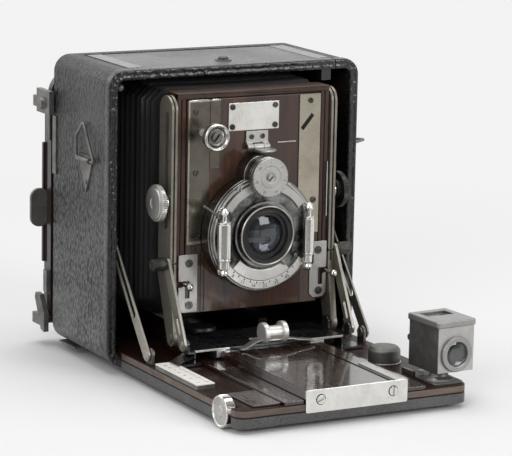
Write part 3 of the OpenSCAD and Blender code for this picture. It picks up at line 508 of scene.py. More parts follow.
# Each corner of a line becomes a short curve that starts and ends up to soft away from it.
def softened(line, soft, closed=False, steps=3):
    line = np.array(line, float)
    bends = []
    for index, corner in enumerate(line):
        if not closed and index in (0, len(line) - 1):
            bends.append(corner[None])
            continue
        arms = [line[index - 1] - corner, line[(index + 1) % len(line)] - corner]
        start, end = (corner + arm * min(soft / np.linalg.norm(arm), 0.45) for arm in arms)
        step = np.linspace(0, 1, steps + 1)[:, None]
        bends.append((1 - step) ** 2 * start + 2 * step * (1 - step) * corner + step ** 2 * end)
    return np.vstack(bends)


# Points from what they measure along an axis and along the other two.
def onAxis(along, first, second, axis):
    order = {"X": (along, first, second), "Y": (first, along, second), "Z": (first, second, along)}[axis]
    return np.stack(order, -1).reshape(-1, 3)


# A profile of distances along and out from an axis, carried round it. Teeth lower its rim by a cosine.
def turnedShape(profile, centre, axis, segments, soft, teeth=None, ring=False):
    line = softened(profile, soft, ring)
    angle = np.linspace(0, 2 * np.pi, segments, endpoint=False)
    along, out = (np.repeat(line[:, part, None], segments, axis=1) for part in (0, 1))
    if teeth:
        count, depth, low, high = teeth
        onRim = ((line[:, 0] >= low) & (line[:, 0] <= high))[:, None]
        out = out - onRim * depth * (0.5 - 0.5 * np.cos(count * angle))
    points = onAxis(along, out * np.cos(angle), out * np.sin(angle), axis) + np.array(centre)
    return points, gridFaces(len(line), segments, ring)


def rod(start, end, radius, centre, axis, segments, soft):
    return turnedShape([(start, 0.0), (start, radius), (end, radius), (end, 0.0)], centre, axis, segments, soft)


# A flat outline given a thickness, with the rims of both faces rounded as quarter circles. A hole is a second
# outline that runs inside the first one point for point.
def plateShape(outline, plane, low, high, edge, steps=2, hole=None):
    outline = np.array(outline, float)
    following = np.roll(outline, -1, 0)
    if np.sum(outline[:, 0] * following[:, 1] - following[:, 0] * outline[:, 1]) < 0:
        outline, hole = outline[::-1], None if hole is None else hole[::-1]
    run = np.roll(outline, -1, 0) - np.roll(outline, 1, 0)
    inward = np.stack([-run[:, 1], run[:, 0]], -1) / np.linalg.norm(run, axis=1)[:, None]
    turn = np.linspace(0, np.pi / 2, steps + 1)
    insets = np.concatenate([edge * (1 - np.sin(turn)), edge * (1 - np.cos(turn))])
    heights = np.concatenate([low + edge * (1 - np.cos(turn)), high - edge * (1 - np.sin(turn))])
    flat = outline[None] + inward[None] * insets[:, None, None]
    if hole is not None:
        flat = np.concatenate([flat, hole[None], hole[None]])
        heights = np.append(heights, [high, low])
    count = len(outline)
    points = onAxis(np.repeat(heights[:, None], count, axis=1), flat[..., 0], flat[..., 1], plane)
    faces = gridFaces(len(heights), count, hole is not None)
    if hole is None:
        last = (len(heights) - 1) * count
        faces += [list(range(count))[::-1], list(range(last, last + count))]
    return points, faces


def rectangle(x, z, soft):
    return softened([(x[0], z[0]), (x[1], z[0]), (x[1], z[1]), (x[0], z[1])], soft, True)


def slab(x, z, plane, low, high, soft, edge, steps=2):
    return plateShape(rectangle(x, z, soft), plane, low, high, edge, steps)


# Points evenly spaced along a closed outline.
def evenOutline(outline, count):
    closed = np.vstack([outline, outline[:1]])
    run = np.append(0, np.cumsum(np.linalg.norm(np.diff(closed, axis=0), axis=1)))
    place = np.linspace(0, run[-1], count, endpoint=False)
    return np.stack([np.interp(place, run, closed[:, part]) for part in (0, 1)], -1)


# A circle about a middle, each point on the ray to the same point of an outline.
def circleFacing(outline, middle, radius):
    outwards = np.array(outline) - middle
    return middle + radius * outwards / np.linalg.norm(outwards, axis=1)[:, None]


# Points on the circle of radius 1 at angles in radians.
def unitCircle(angle):
    return np.stack([np.cos(angle), np.sin(angle)], -1)


# The outline of a part of a flat ring between two angles in degrees.
def arcBand(inner, outer, start, end, centre):
    arc = unitCircle(np.radians(np.linspace(start, end, 48)))
    return np.vstack([inner * arc, outer * arc[::-1]]) + np.array(centre)


def roundSection(radius, steps):
    return radius * unitCircle(np.linspace(0, 2 * np.pi, steps, endpoint=False))


# A flat section carried along a path in one plane: its first value goes sideways, its second along up.
def sweptShape(path, section, up, closed=False):
    path, up = np.array(path, float), np.array(up, float)
    run = np.roll(path, -1, 0) - np.roll(path, 1, 0) if closed else np.gradient(path, axis=0)
    side = np.cross(run, up)
    side /= np.linalg.norm(side, axis=1)[:, None]
    points = path[:, None] + side[:, None] * section[None, :, :1] + up * section[None, :, 1:]
    faces = gridFaces(len(path), len(section), closed)
    if not closed:
        last = (len(path) - 1) * len(section)
        faces += [list(range(len(section))), list(range(last, last + len(section)))[::-1]]
    return points.reshape(-1, 3), faces


def joined(*shapes):
    points, faces, start = [], [], 0
    for shapePoints, shapeFaces in shapes:
        points.append(shapePoints)
        faces += [[start + corner for corner in face] for face in shapeFaces]
        start += len(shapePoints)
    return np.vstack(points), faces


# Gentle folds between -1 and 1: the mean of forty plane waves of about one length in seeded directions.
def crinkle(points, size, seed):
    chance = np.random.default_rng(seed)
    direction = chance.normal(size=(40, 3))
    direction /= np.linalg.norm(direction, axis=1)[:, None]
    pace = 2 * np.pi / (size * chance.uniform(0.7, 1.6, 40))
    phase = chance.uniform(0, 2 * np.pi, 40)
    return np.sin(points @ (direction * pace[:, None]).T + phase).sum(axis=1) / 9.0


# Plain numbers as thin solids in X and Y, centred and turned; returns points and faces.
def wording(text, size, turn, thickness=0.05):
    curve = bpy.data.curves.new("numbers", "FONT")
    curve.body = text
    curve.size = size
    curve.align_x, curve.align_y = "CENTER", "CENTER"
    curve.extrude = thickness / 2
    curve.resolution_u = 2
    holder = bpy.data.objects.new("numbers", curve)
    bpy.context.scene.collection.objects.link(holder)
    mesh = bpy.data.meshes.new_from_object(holder.evaluated_get(bpy.context.evaluated_depsgraph_get()))
    points = np.empty(len(mesh.vertices) * 3)
    mesh.vertices.foreach_get("co", points)
    faces = [list(polygon.vertices) for polygon in mesh.polygons]
    bpy.data.objects.remove(holder)
    bpy.data.meshes.remove(mesh)
    points = points.reshape(-1, 3)
    cosine, sine = math.cos(turn), math.sin(turn)
    x, y = points[:, 0] * cosine - points[:, 1] * sine, points[:, 0] * sine + points[:, 1] * cosine
    return np.stack([x, y, points[:, 2]], -1), faces


# Turns a flat shape so that it faces forward and puts its middle at a point.
def onFront(shape, x, y, z):
    points, faces = shape
    return np.stack([points[:, 0] + x, y - points[:, 2], points[:, 1] + z], -1), faces


# A thin mark that faces forward and runs away from a middle, given by its ends and half its width.
def radialMark(angle, ends, half, middle, low, high):
    run = np.array([math.cos(angle), math.sin(angle)])
    across = np.array([-run[1], run[0]]) * half
    near, far = ends
    corners = [run * near - across, run * far - across, run * far + across, run * near + across]
    return plateShape(np.array(corners) + middle, "Y", low, high, 0.01, 1)


# Two raised half discs with a slot between them, on a thin round base that faces forward.
def screwHead(x, y, z, radius, height, turn, slot=0.17):
    spread = math.asin(slot)
    shapes = []
    for side in (0.0, math.pi):
        angle = np.linspace(spread, math.pi - spread, 12) + side + turn
        half = softened(radius * unitCircle(angle), 0.05, True, 1)
        shapes.append(plateShape(half + (x, z), "Y", y - height, y, min(0.18, 0.3 * height)))
    base = roundSection(radius * 0.97, 24) + (x, z)
    return joined(*shapes, plateShape(base, "Y", y - 0.35 * height, y, 0.02, 1))


# Makes a piece from points in mm that are measured from the middle of the body's mouth.
def addPiece(name, shape, finish, body, slotName, sharp=35.0, stands=None):
    points, faces = shape
    mesh = bpy.data.meshes.new(name)
    mesh.from_pydata(((points + (0.0, mouthY, 0.0)) * mm).tolist(), [], faces)
    work = bmesh.new()
    work.from_mesh(mesh)
    bmesh.ops.remove_doubles(work, verts=work.verts, dist=0.0000005)
    bmesh.ops.recalc_face_normals(work, faces=work.faces)
    work.to_mesh(mesh)
    work.free()
    mesh.polygons.foreach_set("use_smooth", np.ones(len(mesh.polygons), bool))
    mesh.set_sharp_from_angle(angle=math.radians(sharp))
    mesh.materials.append(finishes[finish])
    piece = bpy.data.objects.new(name, mesh)
    bpy.context.scene.collection.objects.link(piece)
    if body:
        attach(piece, body)
        if sharp <= 50:
            shading = piece.modifiers.new("shading", "WEIGHTED_NORMAL")
            shading.keep_sharp = True
    if stands:
        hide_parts(stands)
    return piece


# A piece that stands for the CAD node which has the name of its body.
def addMoving(body, shape, finish, slotName, sharp=35.0):
    first, *others = body.split("_")
    name = first + "".join(word.capitalize() for word in others)
    addPiece(name, shape, finish, body, slotName, sharp, body)


print("stage: surfaces")

# Bellows

bellows = {
    "pleat": 5.1,  # mm from fold to fold
    "depth": 6.0,
    "sharpness": 0.97,  # of the folds, below 1
    "rear": {"y": 66.4, "x": 57.2, "z": (15.0, 149.8)},
    "front": {"y": -8.6, "x": 49.6, "z": (30.0, 148.6)},
    "neck": {"y": -2.45, "x": 45.4, "depth": 1.8},  # narrower sides between the uprights
    "cuts": (66.4, 19.3, 12.0, -4.0, -8.6),
    "bends": ((66.4, 19.3), (19.3, 12.0), (1.2, -4.0), (-4.0, -8.6)),
    "bendZ": 90.0,
    "bodies": ("root", "bellows_rib", "standard", "rise", "panel"),
    "stands": ("bellows_rear", "bellows_rib", None, "bellows_front"),
    "stepsPerPleat": 10,
    "ringSteps": (9, 3),  # along the sides and across the cut corners
    "cornerCut": (7.5, 3.0),  # on the outer folds and on the inner ones
    "sag": 0.8,
    "cloth": 0.5,
}


# One ring of the bellows: a cut-cornered rectangle that a rounded zigzag of y draws in between the folds.
def bellowsRing(y, settings):
    rear, front, neck = settings["rear"], settings["front"], settings["neck"]
    share = (rear["y"] - y) / (rear["y"] - front["y"])
    sharpness = settings["sharpness"]
    fold = np.arcsin(sharpness * np.cos(2 * np.pi * (rear["y"] - y) / settings["pleat"])) / np.arcsin(sharpness)
    wave = 0.5 + fold / 2
    inset = settings["depth"] * (1 - wave)
    half = rear["x"] + (front["x"] - rear["x"]) * share - inset
    if y < neck["y"]:
        half = neck["x"] - neck["depth"] * (1 - wave)
    low = rear["z"][0] + (front["z"][0] - rear["z"][0]) * share + inset
    high = rear["z"][1] + (front["z"][1] - rear["z"][1]) * share - inset
    outerCut, innerCut = settings["cornerCut"]
    cut = innerCut + (outerCut - innerCut) * wave
    corners = [(half, low + cut), (half, high - cut), (half - cut, high), (cut - half, high),
               (-half, high - cut), (-half, low + cut), (cut - half, low), (half - cut, low)]
    ring = []
    for index, corner in enumerate(corners):
        step = np.linspace(0, 1, settings["ringSteps"][index % 2], endpoint=False)[:, None]
        following = np.array(corners[(index + 1) % 8])
        ring.append(np.array(corner) * (1 - step) + following * step)
    ring = np.vstack(ring)
    droop = settings["sag"] * np.clip(1 - (ring[:, 0] / half) ** 2, 0, 1) * (ring[:, 1] > high - cut)
    return np.stack([ring[:, 0], np.full(len(ring), y), ring[:, 1] - droop], -1)


def makeBellows(settings):
    for index, (start, end) in enumerate(zip(settings["cuts"], settings["cuts"][1:])):
        steps = max(8, round((start - end) / settings["pleat"] * settings["stepsPerPleat"]))
        rings = np.stack([bellowsRing(y, settings) for y in np.linspace(start, end, steps + 1)])
        flat = (rings - rings.mean(axis=1, keepdims=True)) * (1, 0, 1)
        thinner = rings - flat / np.linalg.norm(flat, axis=-1, keepdims=True) * settings["cloth"]
        wall = np.concatenate([rings, thinner[::-1]])
        shape = wall.reshape(-1, 3), gridFaces(len(wall), wall.shape[1], True)
        piece = addPiece(f"bellows{index + 1}", shape, "bellowsLeather", None, "bellows_cloth", 50,
                         settings["stands"][index])
        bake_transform(piece)


makeBellows(bellows)
print("stage: bellows")

# Rolled leather round the mouth

rim = {
    "inset": 2.5,  # mm from the outside to the middle of the roll
    "halfWidth": 2.75,
    "reach": (-0.45, 5.5),  # mm in Y
    "corner": 9.0,
    "outside": (75.0, 158.3),
    "footTurn": 232,  # degrees, where the roll starts below the lower corner
    "flapEdge": 60.75,
    "flapZ": 155.8,
    "step": 0.6,
    "folds": 0.16,
    "foldSize": 2.6,
}


def makeRim(name, path, body, settings, seed):
    half, (low, high) = settings["halfWidth"], settings["reach"]
    section = softened([(-half, high), (-half, low + 0.25), (-0.5 * half, low - 0.1), (0.0, low + 0.3),
                        (0.5 * half, low - 0.1), (half, low + 0.25), (half, high)], 1.2, True, 4)
    points, faces = sweptShape(path, section, (0, 1, 0))
    fold = crinkle(points, settings["foldSize"], seed) * settings["folds"]
    points = points + np.stack([0.5 * fold, np.where(points[:, 1] < 1.5, fold, 0), 0.5 * fold], -1)
    addPiece(name, (points, faces), "rimLeather", body, "black_leather", 60)


# From the foot of a wall, up it and round the upper corner to the roof flap.
def rimPath(side, settings):
    wide, tall = settings["outside"]
    radius = settings["corner"] - settings["inset"]
    middle = wide - settings["corner"]
    foot = np.radians(np.linspace(settings["footTurn"], 180, 12))
    top = np.radians(np.linspace(180, 90, 22))
    lower = radius * unitCircle(foot) + (-middle, settings["corner"])
    upper = radius * unitCircle(top) + (-middle, tall - settings["corner"])
    rise = np.arange(lower[-1, 1] + settings["step"], upper[0, 1], settings["step"])
    wall = np.stack([np.full(len(rise), -middle - radius), rise], -1)
    roof = np.arange(-middle + settings["step"], -settings["flapEdge"], settings["step"])
    run = np.stack([roof, np.full(len(roof), upper[-1, 1])], -1)
    line = np.vstack([lower, wall, upper, run, [(-settings["flapEdge"], upper[-1, 1])]])
    return np.stack([side * line[:, 0], np.zeros(len(line)), line[:, 1]], -1)


def makeRims(settings):
    makeRim("rimLeft", rimPath(1, settings), "root", settings, 3)
    makeRim("rimRight", rimPath(-1, settings), "root", settings, 4)
    run = np.arange(-settings["flapEdge"] + 0.5, settings["flapEdge"] - 0.4, settings["step"])
    path = np.stack([run, np.zeros(len(run)), np.full(len(run), settings["flapZ"])], -1)
    makeRim("rimFlap", path, "roof_flap", settings, 5)


makeRims(rim)
print("stage: rim")

# Shutter

shutter = {
    "axisZ": 72.4,  # mm
    "caseRadius": 31.3,
    "lobeZ": 103.7,
    "lobeRadius": 10.6,
    "hole": 16.15,
    "chamber": (-22.6, 28.3),  # Y of its back wall and radius of the room in which the blades part
    "layers": (  # of the case: how far they are drawn in, Y of both faces, edge, radius of the opening
        (0, -30.4, -21.2, 0.6, 28.3),
        (0.7, -31.0, -30.0, 0.1, 16.15),
        (0.15, -33.0, -30.7, 0.95, 16.15),
    ),
    "backY": -21.2,
    "frontY": -33.0,
    "bandY": -35.1,
    "faceRadius": 29.75,
    "bandRadii": (23.8, 28.2),
    "bandAngles": (33, 147),
    "scaleRadii": ((19.2, 24.95), (25.25, 29.35)),
    "scaleAngles": ((-137, -52), (-147, -33)),
    "screws": ((-15.0, 97.3, 1.6), (14.4, 97.2, 1.6), (-12.8, 55.6, 1.1), (12.2, 56.2, 1.1), (19.6, 59.5, 1.0)),
    "bandScrews": ((-8.6, 98.2), (9.4, 98.0)),
    "ticks": {"radii": (25.6, 26.6), "half": 0.3, "margin": 14, "count": 11},
    "fNumbers": ("8", "11", "16", "22", "32", "45"),
    "fRadius": 27.9,
    "fMargins": (16, 26),  # degrees
    "dial": ((-38.35, 0.0), (-38.35, 10.2), (-38.7, 10.45), (-40.1, 10.45), (-40.35, 10.2), (-40.35, 6.3),
             (-40.15, 6.15), (-40.15, 5.6), (-40.35, 5.45), (-40.35, 3.0), (-40.15, 2.6), (-40.15, 0.0)),
    "dialNumbers": ("1", "2", "5", "10", "25", "50", "100"),
    "dialRadius": 8.3,
    "dialTicks": {"radii": (9.5, 10.1), "half": 0.1, "count": 28},
    "cylinders": ((-25.3, 3.75, (60.6, 81.6)), (25.2, 3.0, (60.2, 80.8))),  # X, radius, ends of the tube in Z
    "cylinderY": -37.2,
    "post": ((-39.5, 0.0), (-39.5, 1.1), (-39.2, 1.35), (-38.0, 1.35), (-37.4, 1.1), (-33.4, 1.1), (-33.4, 1.8),
             (-33.2, 1.8), (-33.2, 0.0)),
}


# Two round outlines that overlap, followed as one: the case's circle, then the lobe's between where they meet.
def caseOutline(shrink, settings):
    radius, lobe = settings["caseRadius"] - shrink, settings["lobeRadius"] - shrink
    rise = settings["lobeZ"] - settings["axisZ"]
    meet = math.acos((radius ** 2 + rise ** 2 - lobe ** 2) / (2 * radius * rise))
    side = math.atan2(radius * math.sin(meet), radius * math.cos(meet) - rise)
    lower = np.linspace(meet, 2 * np.pi - meet, 150)
    upper = np.linspace(-side, side, 48)[1:-1]
    main = radius * unitCircle(lower)[:, ::-1] + (0, settings["axisZ"])
    top = lobe * unitCircle(upper)[:, ::-1] + (0, settings["lobeZ"])
    return np.vstack([main, top])


def makeShutter(settings):
    z, back, front = settings["axisZ"], settings["backY"], settings["frontY"]
    centre, middle = (0, 0, z), (0.0, z)
    hole, (wallY, room) = settings["hole"], settings["chamber"]
    layers = [turnedShape([(wallY, hole), (wallY, room + 0.3), (back - 0.1, room + 0.3), (back - 0.1, hole)],
                          centre, "Y", 96, 0.05, ring=True)]
    for shrink, low, high, edge, opening in settings["layers"]:
        outline = caseOutline(shrink, settings)
        layers.append(plateShape(outline, "Y", low, high, edge, 3, circleFacing(outline, middle, opening)))
    addPiece("shutterCase", joined(*layers), "drumMetal", "panel", "black_enamel", 50, "shutter_case")

    face = turnedShape([(front + 0.2, hole), (front + 0.2, 28.9), (front - 0.35, 28.9), (front - 0.35, hole)],
                       centre, "Y", 96, 0.05, ring=True)
    addPiece("shutterFace", face, "agedFace", "panel", "dark_metal", 30, "shutter_face")
    radius = settings["faceRadius"]
    rimRing = turnedShape([(front + 0.3, 28.6), (front + 0.3, radius - 0.1), (front - 0.25, radius),
                           (front - 0.6, radius - 0.5), (front - 0.6, 28.95), (front - 0.3, 28.6)],
                          centre, "Y", 96, 0.15, ring=True)
    bandY = settings["bandY"]
    outline = arcBand(*settings["bandRadii"], *settings["bandAngles"], middle)
    band = plateShape(outline, "Y", bandY, front - 0.2, 0.3)
    heads = [screwHead(x, front - 0.3, height, size, 0.75, 0.6 + x) for x, height, size in settings["screws"]]
    heads += [screwHead(x, bandY, height, 1.75, 0.7, 0.9 + x) for x, height in settings["bandScrews"]]
    addPiece("shutterBand", joined(rimRing, band, *heads), "satinNickel", "panel", "nickel")

    arcs = [plateShape(arcBand(*radii, *angles, middle), "Y", front - 1.2, front - 0.2, 0.2)
            for radii, angles in zip(settings["scaleRadii"], settings["scaleAngles"])]
    addPiece("apertureScale", joined(*arcs), "scaleSilver", "panel", "nickel")
    low, high = settings["scaleAngles"][1]
    ticks = settings["ticks"]
    marks = [radialMark(angle, ticks["radii"], ticks["half"], middle, front - 1.26, front - 1.1)
             for angle in np.radians(np.linspace(low + ticks["margin"], high - ticks["margin"], ticks["count"]))]
    numbers, reach, (first, last) = settings["fNumbers"], settings["fRadius"], settings["fMargins"]
    for number, turn in zip(numbers, np.radians(np.linspace(low + first, high - last, len(numbers)))):
        marks.append(onFront(wording(number, 2.7, turn + math.pi / 2), reach * math.cos(turn), front - 1.24,
                             z + reach * math.sin(turn)))
    addPiece("apertureMarks", joined(*marks), "engraving", "panel", "dark_metal", 40)

    # The drum is smooth up to a groove behind the dial
    lobeZ, reach = settings["lobeZ"], settings["lobeRadius"]
    steps = [(front + 0.3, 0.0), (front + 0.3, reach), (-35.8, reach), (-36.0, reach - 1.0), (-36.9, reach - 1.0),
             (-37.1, reach), (-37.6, reach), (-37.8, reach - 0.8), (-38.15, reach - 0.8), (-38.15, 0.0)]
    addPiece("dialDrum", turnedShape(steps, (0, 0, lobeZ), "Y", 72, 0.12), "drumMetal", "panel", "dark_metal")


# A dial with a raised rim, a groove round its middle and a slotted screw.
def makeDial(settings):
    z = settings["lobeZ"]
    disc = turnedShape(settings["dial"], (0, 0, z), "Y", 96, 0.1)
    stem = rod(-38.5, -34.4, 1.5, (0, 0, z), "Y", 16, 0.1)
    screw = screwHead(0, -40.2, z, 1.9, 0.95, 0.75)
    addMoving("speed_dial", joined(disc, stem, screw), "satinNickel", "nickel", 30)
    marks = []
    numbers, reach = settings["dialNumbers"], settings["dialRadius"]
    for number, angle in zip(numbers, np.linspace(0, 2 * np.pi, len(numbers), endpoint=False)):
        marks.append(onFront(wording(number, 1.7, -angle), reach * math.sin(angle), -40.37,
                             z + reach * math.cos(angle)))
    ticks = settings["dialTicks"]
    marks += [radialMark(math.pi / 2 - angle, ticks["radii"], ticks["half"], (0, z), -40.38, -40.3)
              for angle in np.linspace(0, 2 * np.pi, ticks["count"], endpoint=False)]
    addPiece("dialMarks", joined(*marks), "engraving", "speed_dial", "dark_metal", 40)


# Air cylinders: a tube with a step, and at each end a neck and a ball, on a post from the face.
def makeCylinders(settings):
    shapes = []
    for x, radius, (low, high) in settings["cylinders"]:
        top, bottom = high + 5.0, low - 6.4
        profile = [(bottom - 2.4, 0.0), (bottom - 2.1, 1.3), (bottom - 1.3, 2.1), (bottom, 2.45),
                   (bottom + 1.3, 2.1), (bottom + 1.8, 1.25), (low - 4.3, 1.25), (low - 4.3, radius - 0.9),
                   (low - 4.0, radius - 0.7), (low - 0.1, radius - 0.7), (low - 0.1, radius - 0.25),
                   (low + 0.3, radius), (low + 0.9, radius), (low + 1.0, radius - 0.25),
                   (low + 1.5, radius - 0.25), (low + 1.6, radius), (high - 1.3, radius),
                   (high - 1.1, radius - 0.3), (high - 0.7, radius - 0.3), (high - 0.5, radius),
                   (high, radius - 0.3), (high, 1.25), (top - 1.9, 1.25), (top - 1.3, 2.1),
                   (top, 2.45), (top + 1.3, 2.1), (top + 2.1, 1.3), (top + 2.4, 0.0)]
        shapes.append(turnedShape(profile, (x, settings["cylinderY"], 0), "Z", 40, 0.12))
        shapes += [turnedShape(settings["post"], (x, 0, height), "Y", 20, 0.12) for height in (bottom, top)]
    addPiece("brakeCylinders", joined(*shapes), "brightNickel", "panel", "nickel", stands="brake_cylinders")


for make in (makeShutter, makeDial, makeCylinders):
    make(shutter)
print("stage: shutter")

# Lens

lens = {
    "rings": {  # profiles of Y and radius in mm, segments and softness
        "front": (((-30.4, 10.4), (-30.4, 16.0), (-33.4, 16.0), (-33.6, 15.75), (-34.0, 15.75), (-34.2, 16.0),
                   (-38.0, 16.0), (-38.25, 15.8), (-38.25, 15.3), (-37.45, 14.4), (-37.4, 12.9), (-37.55, 12.6),
                   (-35.85, 12.4), (-35.85, 10.95), (-36.0, 10.7), (-35.6, 10.4)), 96, 0.12),
        "rear": (((-25.0, 10.4), (-25.0, 16.0), (-17.0, 16.0), (-17.0, 20.0), (-15.4, 20.0), (-15.4, 13.6),
                  (-6.0, 13.6), (-6.0, 10.4)), 64, 0.2),
        "edge": (((-38.1, 15.2), (-37.9, 16.02), (-38.35, 15.95), (-38.6, 15.7), (-38.6, 15.4), (-38.3, 15.1)),
                 96, 0.1),
        "collar": (((-33.4, 15.9), (-33.4, 16.9), (-33.9, 16.9), (-34.1, 16.6), (-34.1, 15.9)), 96, 0.1),
        "pointer": (((-34.5, 16.4), (-34.5, 17.9), (-35.4, 17.9), (-35.6, 17.6), (-35.6, 16.4)), 96, 0.08),
    },
    "glassRadius": 10.35,
    "glasses": (("frontGlass", -32.6, -35.55, "lens_glasses"), ("rearGlass", -9.2, -6.3, None)),  # Y of both faces
    "pointerTurn": -54,  # degrees
    "arm": ((17.0, -1.1), (20.6, -1.0), (21.6, 0.0), (20.6, 1.0), (17.0, 1.1)),  # out from the axis and across
    "lever": ((-26.5, 83.5), (-36.2, 90.2)),  # X and Z of its ends
    "leverTip": (-36.0, 90.0),
    "pivot": ((-31.9, 0.0), (-31.9, 1.15), (-34.0, 1.15), (-34.0, 1.7), (-34.9, 1.7), (-35.0, 1.5), (-35.0, 0.0)),
    "tip": ((-35.0, 0.0), (-35.0, 0.6), (-34.8, 0.75), (-34.1, 0.75), (-33.9, 0.6), (-33.9, 0.0)),
}


# The barrel's rings step down towards the glass, with a worn bright edge; the rear cell is behind the board.
def makeLens(settings):
    centre = (0, 0, shutter["axisZ"])
    rings = {name: turnedShape(profile, centre, "Y", segments, soft, ring=True)
             for name, (profile, segments, soft) in settings["rings"].items()}
    addPiece("lensBarrel", joined(rings["front"], rings["rear"]), "barrelBlack", "panel", "black_enamel",
             stands="lens_barrel")
    addPiece("barrelEdge", joined(rings["edge"], rings["collar"]), "wornEdge", "panel", "nickel")
    radius = settings["glassRadius"]
    for name, back, bulge, stands in settings["glasses"]:
        dome = [(back + (bulge - back) * (0.27 + 0.73 * (1 - share ** 2)), radius * share)
                for share in np.linspace(1, 0, 14)]
        shape = turnedShape([(back, 0.0), (back, radius)] + dome, centre, "Y", 64, 0.01)
        addPiece(name, shape, "lensGlass", "panel", "lens_glass", 60, stands)

    turn = math.radians(settings["pointerTurn"])
    run, across = np.array([math.cos(turn), math.sin(turn)]), np.array([-math.sin(turn), math.cos(turn)])
    outline = np.array([run * far + across * side for far, side in settings["arm"]]) + (0, shutter["axisZ"])
    arm = plateShape(outline, "Y", -35.55, -34.6, 0.2)
    addMoving("aperture_pointer", joined(rings["pointer"], arm), "drumMetal", "dark_metal")
    (x, z), (endX, endZ) = settings["lever"]
    path = np.stack([np.linspace(x, endX, 14), np.full(14, -34.5), np.linspace(z, endZ, 14)], -1)
    lever = sweptShape(path, roundSection(0.75, 12) * (0.9, 0.6), (0, 1, 0))
    tipX, tipZ = settings["leverTip"]
    pivot = turnedShape(settings["pivot"], (x, 0, z), "Y", 24, 0.1)
    tip = turnedShape(settings["tip"], (tipX, 0, tipZ), "Y", 24, 0.15)
    addMoving("release_lever", joined(lever, pivot, tip), "darkMetal", "nickel", 40)


makeLens(lens)
print("stage: lens")

# Lens panel

panel = {
    "frame": {"x": (-45.4, 45.4), "z": (31.1, 147.9), "y": (-17.0, -8.1)},
    "board": {"x": (-40.0, 40.0), "z": (30.0, 144.3), "y": (-21.15, -17.1)},
    "boardHole": 17.0,
    "rails": (((-45.4, -30), (31.1, 147.9)), ((30, 45.4), (31.1, 147.9)), ((-30.2, 30.2), (31.1, 42)),
              ((-30.2, 30.2), (128, 147.9))),  # X and Z of the frame's rails
    "beads": ((-45.4, -43.2), (-42.9, -40.4), (40.4, 42.6), (42.9, 45.4)),  # X of the narrow rails in front
}


def makePanel(settings):
    (left, right), (low, high) = settings["frame"]["x"], settings["frame"]["z"]
    board = settings["board"]
    rails = [slab(x, height, "Y", *settings["frame"]["y"], 0.6, 0.35) for x, height in settings["rails"]]
    rails += [slab(x, (low, high - 0.1), "Y", -20.8, -16.9, 0.4, 0.35, 3) for x in settings["beads"]]
    rails.append(slab((left, right), (board["z"][1] + 0.25, high), "Y", -20.85, -16.9, 0.4, 0.6, 3))
    addPiece("panelFrame", joined(*rails), "frameWood", "panel", "polished_wood", stands="panel_frame")
    outline = evenOutline(rectangle(board["x"], board["z"], 0.4), 360)
    hole = circleFacing(outline, (0.0, shutter["axisZ"]), settings["boardHole"])
    addPiece("lensBoard", plateShape(outline, "Y", *board["y"], 0.45, 3, hole), "panelWood", "panel",
             "polished_wood", stands="lens_board")


makePanel(panel)
print("stage: panel")

# Fittings on the lens panel

fittings = {
    "plateY": -21.9,  # mm, the front of the thin plates
    "boardY": -21.1,  # where they end in the board
    "nameplate": ((-15.9, 14.2), (126.6, 141.4)),
    "topEdges": (((-39.7, -26.8), (143.3, 144.3)), ((-26.5, -20.6), (143.3, 144.3))),
    "gap": ((43.5, 44.8), (76.5, 106.5)),  # the groove beside the right side plate, drawn as a dark strip of painted shade
    "seams": (-30.8, -28.8, 29.2),
    "slot": ((35.0, 132.9), (28.5, 125.2)),
    "sidePlates": (  # name, X and Z, front, the node it stands for
        ("sidePlateLeft", (-39.7, -26.8), (67.2, 143.8), -21.75, "side_plates"),
        ("sidePlateRight", (39.7, 26.8), (68.4, 144.0), -21.8, None),
    ),
    "inlay": ((-38.5, -26.9), (68.9, 143.0)),
    "tab": ((-26.6, -20.6), (107.2, 143.3)),
    "leftBracket": ((-44.2, 30.9), (-33.0, 30.9), (-33.0, 62.0), (-44.2, 62.0), (-44.2, 47.8), (-37.6, 47.8),
                    (-37.6, 38.4), (-40.2, 38.4), (-40.2, 44.8), (-44.2, 44.8)),
    "rightBracket": ((35.0, 34.6), (37.2, 32.4), (43.2, 32.4), (45.4, 34.6), (45.4, 45.4), (43.0, 45.4),
                     (43.0, 39.2), (40.4, 39.2), (40.4, 48.6), (45.4, 48.6), (45.4, 63.2), (37.4, 63.2),
                     (37.4, 51.0), (35.0, 50.0)),
    "screws": ((-38.0, 57.4, 2.2), (-37.8, 34.8, 2.2), (40.0, 58.4, 2.2), (40.7, 36.0, 2.2), (-13.6, 128.7, 1.6),
               (11.9, 128.7, 1.6), (-13.6, 139.3, 1.6), (11.9, 139.3, 1.6), (-35.2, 137.7, 1.6),
               (-34.7, 105.5, 1.6), (-35.4, 72.0, 1.5), (33.5, 140.4, 1.5), (36.2, 86.3, 1.7)),
    "pins": (("left", -41.6, 46.3, -30.0), ("right", 44.3, 47.0, -31.6)),  # X and Z, and Y of the ball's middle
    "knob": (-31.5, 126.8),
    "knobProfile": ((-34.3, 0.0), (-34.3, 1.9), (-35.2, 6.0), (-36.0, 7.2), (-39.3, 7.2), (-39.8, 6.7),
                    (-39.8, 6.2), (-39.2, 5.5), (-37.6, 4.7), (-37.3, 4.0), (-37.3, 0.0)),
    "knobTeeth": (45, 0.3, -38.9, -36.3),
    "hinge": (-23.4, 117.6),  # Y and Z of its pin
    "hingeArms": ((-5.5, -2.0), (4.2, 7.7)),
    "ballRadius": 2.1,
}


# The outline of a side plate, with a round bite where the shutter stands.
def sideOutline(x, z):
    reach = shutter["caseRadius"] + 0.25
    (far, near), (low, high) = x, z
    angle = np.linspace(math.asin((low - shutter["axisZ"]) / reach), math.acos(abs(near) / reach), 14)
    bite = reach * unitCircle(angle) * (math.copysign(1, far), 1) + (0, shutter["axisZ"])
    return np.vstack([[(far, high), (far, low)], bite, [(near, high)]])


